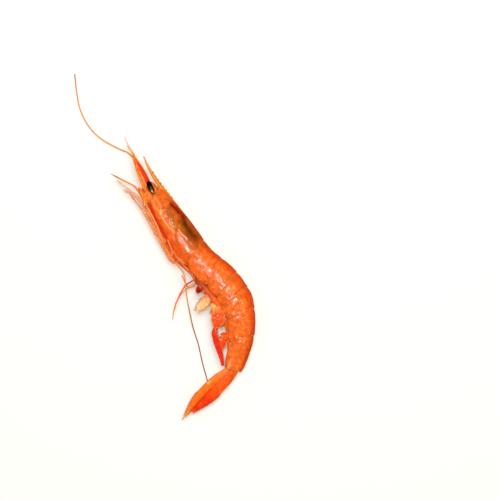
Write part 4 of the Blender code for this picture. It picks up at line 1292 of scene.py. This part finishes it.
INNER_BRANCH = (0.5, 0.5, 0.35, 0.22, 0.5)
INNER_DROP = 1.0
# Colours of stem, paddle and rim.
SWIM_PAINT = (
    ("#d05a28", "#9c1408", "#4c0804"),
    ("#ee8468", "#f0c8b0", "#d8946c"),
    ("#fcc494", "#e25626", "#ee8448"),
    ("#f2602c", "#dc3424", "#d82c48"),
    ("#f4641e", "#ee4c10", "#e83c10"),
)
print(len(PLEOPODS), "pairs of swimming legs")


# %% Rays and fringes
def paddle_ribs(side, part):
    """A soft midrib, with fine rays that leave it towards both edges."""
    rays = np.sin(60.0 * part + 9.0 * np.abs(side))
    return (0.10 * bell(side, 0.0, 0.15) + 0.025 * rays) * (1 - step(part, 0.8, 1.0))


def edge_fringe(grid, first, last, count, length, radius, lean, paint, seed, clump=0):
    """Hair along both edges of a blade: out from its middle and lean times ahead.

    Where hairs clump, their length grows along each clump and drops at its end, like a saw.
    """
    rows = np.linspace(first * len(grid), last * len(grid) - 1, count).astype(int)
    chance = np.random.default_rng(seed)
    hairs = []
    for column in (0, grid.shape[1] // 2):
        middle = grid[rows].mean(axis=1)
        out = unit(grid[rows, column] - middle)
        ahead = unit(np.gradient(grid.mean(axis=1), axis=0))[rows]
        roots = grid[rows, column] - 0.06 * out
        size = length * chance.uniform(0.7, 1.1, (count, 1))
        if clump:
            size *= 0.4 + 1.2 * np.mod(np.arange(count)[:, None] / clump, 1.0)
        ragged = chance.normal(scale=0.08, size=(count, 3))
        tips = roots + size * unit(out + lean * ahead + ragged)
        hairs.append(bristles(roots, tips, radius, paint=paint))
    return hairs


print("the midrib of a paddle stands", round(float(paddle_ribs(0.0, 0.0)), 2), "mm high")

# %% Make the swimming legs
PADDLE_SIDES = 40
PADDLE_HAIR = (1.3, 0.03, 1.6, "#f2c4a8")

for number, (points, stem, breadth, inner, colours) in enumerate(
        zip(PLEOPODS, STEM_BREADTH, BRANCH_BREADTH, INNER_BRANCH, SWIM_PAINT), start=1):
    root_colour, blade_colour, rim_colour = colours
    for word, turned in SIDES.items():
        root, end, bend, tip = np.array(on_side(points, turned))
        down = np.array((0.0, 0.0, -turned * INNER_DROP))
        knuckle = end + KNUCKLE * (root - end)
        inner_tip = knuckle + inner * (tip - knuckle) + down
        inner_bend = knuckle + inner * (bend - knuckle) + down
        stem_size = (stem * np.array(STEM_HALF_WIDTH), STEM_HALF_THICK)
        paddle_size = (breadth * np.array(BRANCH_HALF_WIDTH), BRANCH_HALF_THICK)
        parts = (
            ((root, (root + end) / 2, end), *stem_size, 50, None),
            ((knuckle, bend, tip), *paddle_size, 110, paddle_ribs),
            ((knuckle, inner_bend, inner_tip), *paddle_size, 70, paddle_ribs),
        )
        skins = []
        hairs = []
        for order, (route, width, thick, rows, ribs) in enumerate(parts):
            grid, local, side, part = blade(on_body, route, width, thick, 0.0, rows,
                                            PADDLE_SIDES, ribs)
            rim = 0.8 * step(np.abs(side), 0.7, 1.0) + 0.3 * waves(part * 9, side, 1.5, 70)
            paint = layered(plain(blade_colour if ribs else root_colour, local), (
                (root_colour, 0.8 * (1 - step(part, 0.0, 0.5))),
                (rim_colour, rim),
            ))
            skins.append(skin(grid, local, paint))
            if ribs:
                hairs += edge_fringe(grid, 0.3, 1.0, rows, *PADDLE_HAIR, 80 + 10 * number + order)
        name = f"pleopod_{number}_{word}"
        place_skins(f"{name}_paddles", skins, SWIM_SKIN, name, slot="swimming_leg")
        place_skins(f"{name}_fringe", hairs, BRISTLE, slot="swimming_leg")

# %% [markdown]
# ### The tail fan
#
# Five blades close like a fan: a narrow pointed one in the middle, and two on each side. The
# outer ones have a stiff edge that ends in a tooth, a rib, and a hair fringe that makes the
# ragged edge at the tip.

# %% Sizes of the tail fan
TELSON_ROUTE = ((-1.9, 1.5, 0.0), (2.5, 2.8, 0.0), (10.0, 3.6, 0.0), (23.0, 3.5, 0.0))
TELSON_HALF_WIDTH = (1.5, 1.6, 1.2, 0.2)
TELSON_HALF_THICK = (0.9, 0.85, 0.6, 0.15)
TELSON_TILT = 90.0
TELSON_GRID = (140, 60)
ENDOPOD_ROUTE = ((-0.9, 0.3, 2.1), (12.0, 1.9, 2.6), (22.0, 1.5, 2.6), (30.5, 0.6, 2.4))
ENDOPOD_HALF_WIDTH = (1.0, 2.3, 2.6, 1.9, 0.5)
EXOPOD_ROUTE = ((0.2, -1.8, 1.3), (12.0, -2.3, 1.5), (24.0, -2.1, 1.6), (34.5, -0.6, 1.6))
EXOPOD_HALF_WIDTH = (0.9, 2.4, 2.7, 2.2, 0.4)
FAN_HALF_THICK = (0.5, 0.42, 0.36, 0.3, 0.15)
FAN_GAP = 0.05
print("the fan is", FAN_LENGTH, "mm long")


# %% Ribs of the fan's blades
def fan_ribs(side, part):
    """A midrib, a stiff line near each edge, and fine lines beside them, all fading at the tip."""
    rib = 0.16 * bell(side, 0.1, 0.07) - 0.05 * bell(side, 0.24, 0.08)
    rib += 0.12 * bell(np.abs(side), 0.86, 0.07)
    lines = 0.022 * np.sin(34.0 * side)
    return (rib + lines) * (1 - step(part, 0.82, 1.0))


def telson_ribs(side, part):
    """A groove between two ridges along the middle."""
    rib = 0.14 * bell(np.abs(side), 0.4, 0.15) - 0.12 * bell(side, 0.0, 0.18)
    return rib * (1 - step(part, 0.7, 1.0))


print("the midrib of a blade stands", round(float(fan_ribs(0.1, 0.0)), 2), "mm high")

# %% Paint of the fan's blades
# Route of a small bright golden spot on the outer edge: a painted highlight.
FAN_PAINTED_HIGHLIGHT = ((12.5, -4.0), (14.0, -4.2))


def streaks(s, d, seed):
    """Dark lines along a blade: waves that are long along it and short across it."""
    return step(waves(0.25 * s, 3 * d, 1.8, seed), 0.1, 1.0)


def endopod_paint(s, d, side, part):
    """Orange at the root and red towards the tip, deepest along the inner edge."""
    return layered(plain("#f66a22", s), (
        ("#ee4214", step(part, 0.35, 0.75)),
        ("#c01408", 0.85 * step(part, 0.5, 0.8) * step(d, 1.6, 3.4)),
        ("#f6562e", 0.4 * patches(s, 3 * d, 4.0, 90)),
        ("#b41c08", 0.4 * streaks(s, d, 94)),
    ))


def exopod_paint(s, d, side, part):
    """Orange, golden along the outer edge and at the tip, with a painted golden highlight on that
    edge.
    """
    return layered(plain("#f87c28", s), (
        ("#f89038", 0.7 * step(-d, 2.6, 4.2)),
        ("#f2581a", 0.6 * step(d, -1.8, 0.2)),
        ("#d0480c", 0.4 * streaks(s, d, 95)),
        ("#a84a10", 0.5 * step(-side * np.sign(-d), 0.85, 1.0)),
        ("#f89c48", 0.75 * step(part, 0.78, 0.95)),
        ("#f8a070", 0.45 * (1 - step(part, 0.1, 0.4))),
        ("#ffe08a", 0.8 * stroke(s, d, FAN_PAINTED_HIGHLIGHT, 0.45)),
    ))


print("a gleam of gold at", FAN_PAINTED_HIGHLIGHT[0])

# %% The pale tuft at a blade's tip
TUFT_HAIRS = 40


def tuft(grid):
    """Pale hairs that trail from a blade's tip, each of its own length and way."""
    chance = np.random.default_rng(93)
    roots = grid[-4].mean(axis=0) + chance.normal(scale=0.12, size=(TUFT_HAIRS, 3))
    away = unit(grid[-1].mean(axis=0) - grid[-30].mean(axis=0))
    tips = roots + away * chance.uniform(1.5, 4.5, (TUFT_HAIRS, 1))
    tips = tips + chance.normal(scale=0.22, size=(TUFT_HAIRS, 3))
    return bristles(roots, tips, 0.05, paint="#f6cfa4")


print("a tuft has", TUFT_HAIRS, "hairs")

# %% Make the tail fan
# Route, widths, tilt, rows and columns, paint, and hair (as edge_fringe takes it).
FAN_BLADES = {
    "endopod": (ENDOPOD_ROUTE, ENDOPOD_HALF_WIDTH, 8.0, (180, 84), endopod_paint,
                (0.45, 0.98, 260, 1.25, 0.08, 1.8, "#f04a20", 91, 26)),
    "exopod": (EXOPOD_ROUTE, EXOPOD_HALF_WIDTH, 6.0, (200, 84), exopod_paint,
               (0.6, 1.0, 160, 1.0, 0.06, 1.8, "#f4843c", 92, 20)),
}

grid, local, side, part = blade(on_fan, TELSON_ROUTE, TELSON_HALF_WIDTH, TELSON_HALF_THICK,
                                TELSON_TILT, *TELSON_GRID, telson_ribs)
paint = mixed(plain("#f0641c", local), "#e04410", step(part, 0.2, 0.9))
place_skins("telson_blade", [skin(grid, local, paint)], BLADE_CHITIN, "telson", slot="tail_blade")

for word, turned in SIDES.items():
    for kind, (route, widths, tilt, size, colours, fringe) in FAN_BLADES.items():
        name = f"uropod_{kind}_{word}"
        grid, local, side, part = blade(on_fan, on_side(route, turned), widths, FAN_HALF_THICK,
                                        turned * tilt, *size, fan_ribs)
        grid[..., 2] = np.maximum(grid[..., 2], FAN_GAP)
        paint = colours(local[..., 0], local[..., 1], side, part)
        place_skins(f"{name}_blade", [skin(grid, local, paint)], BLADE_CHITIN, name,
                    slot="tail_blade")
        hairs = edge_fringe(grid, *fringe)
        if kind == "exopod":
            hairs.append(tuft(grid))
        place_skins(f"{name}_fringe", hairs, BRISTLE, slot="tail_blade")

# %% [markdown]
# ## Floor, light and camera
#
# Such a picture is taken straight from above, on a sheet of opal glass that glows a little from
# below, so shadows stay faint. A wide soft box overhead lights the shell without being mirrored
# in it. Two narrow strips give the small wet highlights: a white one along the flank, and a
# warm one on the side of the back.

# %% The floor
GLASS_GLOW = 0.3
floor_mesh = bpy.data.meshes.new("floor")
floor_mesh.from_pydata([(-2, -2, 0), (2, -2, 0), (2, 2, 0), (-2, 2, 0)], [], [(0, 1, 2, 3)])
floor = bpy.data.objects.new("floor", floor_mesh)
bpy.context.scene.collection.objects.link(floor)
opal_glass = bpy.data.materials.new("matt_opal_glass")
opal_glass.use_nodes = True
glass = opal_glass.node_tree.nodes["Principled BSDF"]
glass.inputs["Base Color"].default_value = (*linear("#c6c5c3"), 1.0)
glass.inputs["Roughness"].default_value = 0.9
glass.inputs["Specular IOR Level"].default_value = 0.1
glass.inputs["Emission Color"].default_value = (1.0, 0.93, 0.84, 1.0)
glass.inputs["Emission Strength"].default_value = GLASS_GLOW
floor_mesh.materials.append(opal_glass)
floor.visible_glossy = False
print("a floor of opal glass")

# %% The light
BODY_MIDDLE = 7.0 * MM
WORLD_LIGHT = 0.5
# Place, width, length, power, colour, and whether the wet shell mirrors the lamp.
LAMPS = {
    "soft_box": ((0.10, 0.25, 0.95), 0.45, 0.45, 7.2, (1.0, 1.0, 1.0), False),
    "long_strip": ((-0.02, 0.05, 0.90), 0.022, 0.34, 1.8, (1.0, 1.0, 1.0), True),
    "warm_strip": ((0.36, -0.02, 0.80), 0.03, 0.25, 1.0, (1.0, 0.72, 0.30), True),
}

world = bpy.data.worlds.new("tent")
world.use_nodes = True
world.node_tree.nodes["Background"].inputs["Color"].default_value = (1.0, 0.97, 0.92, 1.0)
world.node_tree.nodes["Background"].inputs["Strength"].default_value = WORLD_LIGHT
world.cycles_visibility.glossy = False
bpy.context.scene.world = world


def aim(thing, target):
    """Turns a lamp or camera at a place to look at a target: its -Z axis points there."""
    x, y, z = np.array(thing.location) - np.array(target)
    thing.rotation_euler = (math.atan2(math.hypot(x, y), z), 0.0, math.atan2(y, x) + math.pi / 2)


for name, (place, width, length, power, colour, mirrored_in_shell) in LAMPS.items():
    lamp = bpy.data.lights.new(name, "AREA")
    lamp.shape = "RECTANGLE"
    lamp.size = width
    lamp.size_y = length
    lamp.energy = power
    lamp.color = colour
    holder = bpy.data.objects.new(name, lamp)
    holder.location = place
    holder.visible_glossy = mirrored_in_shell
    aim(holder, (0.0, 0.0, BODY_MIDDLE))
    bpy.context.scene.collection.objects.link(holder)
    print(name, power, "W")

# %% The camera
MIDDLE = (44.794 * MM, -2.909 * MM)
VIEW_WIDTH = 260.0 * MM
CAMERA_HEIGHT = 0.7
SENSOR = 36.0

camera_data = bpy.data.cameras.new("camera")
camera_data.sensor_width = SENSOR
camera_data.lens = SENSOR * CAMERA_HEIGHT / VIEW_WIDTH
camera_data.clip_start = 0.01
camera = bpy.data.objects.new("camera", camera_data)
camera.location = (*MIDDLE, CAMERA_HEIGHT + BODY_MIDDLE)
bpy.context.scene.collection.objects.link(camera)
bpy.context.scene.camera = camera
bpy.context.scene.view_settings.view_transform = "Standard"
print("camera over", np.round(np.array(MIDDLE) / MM, 1), "mm, lens", round(camera_data.lens, 1))
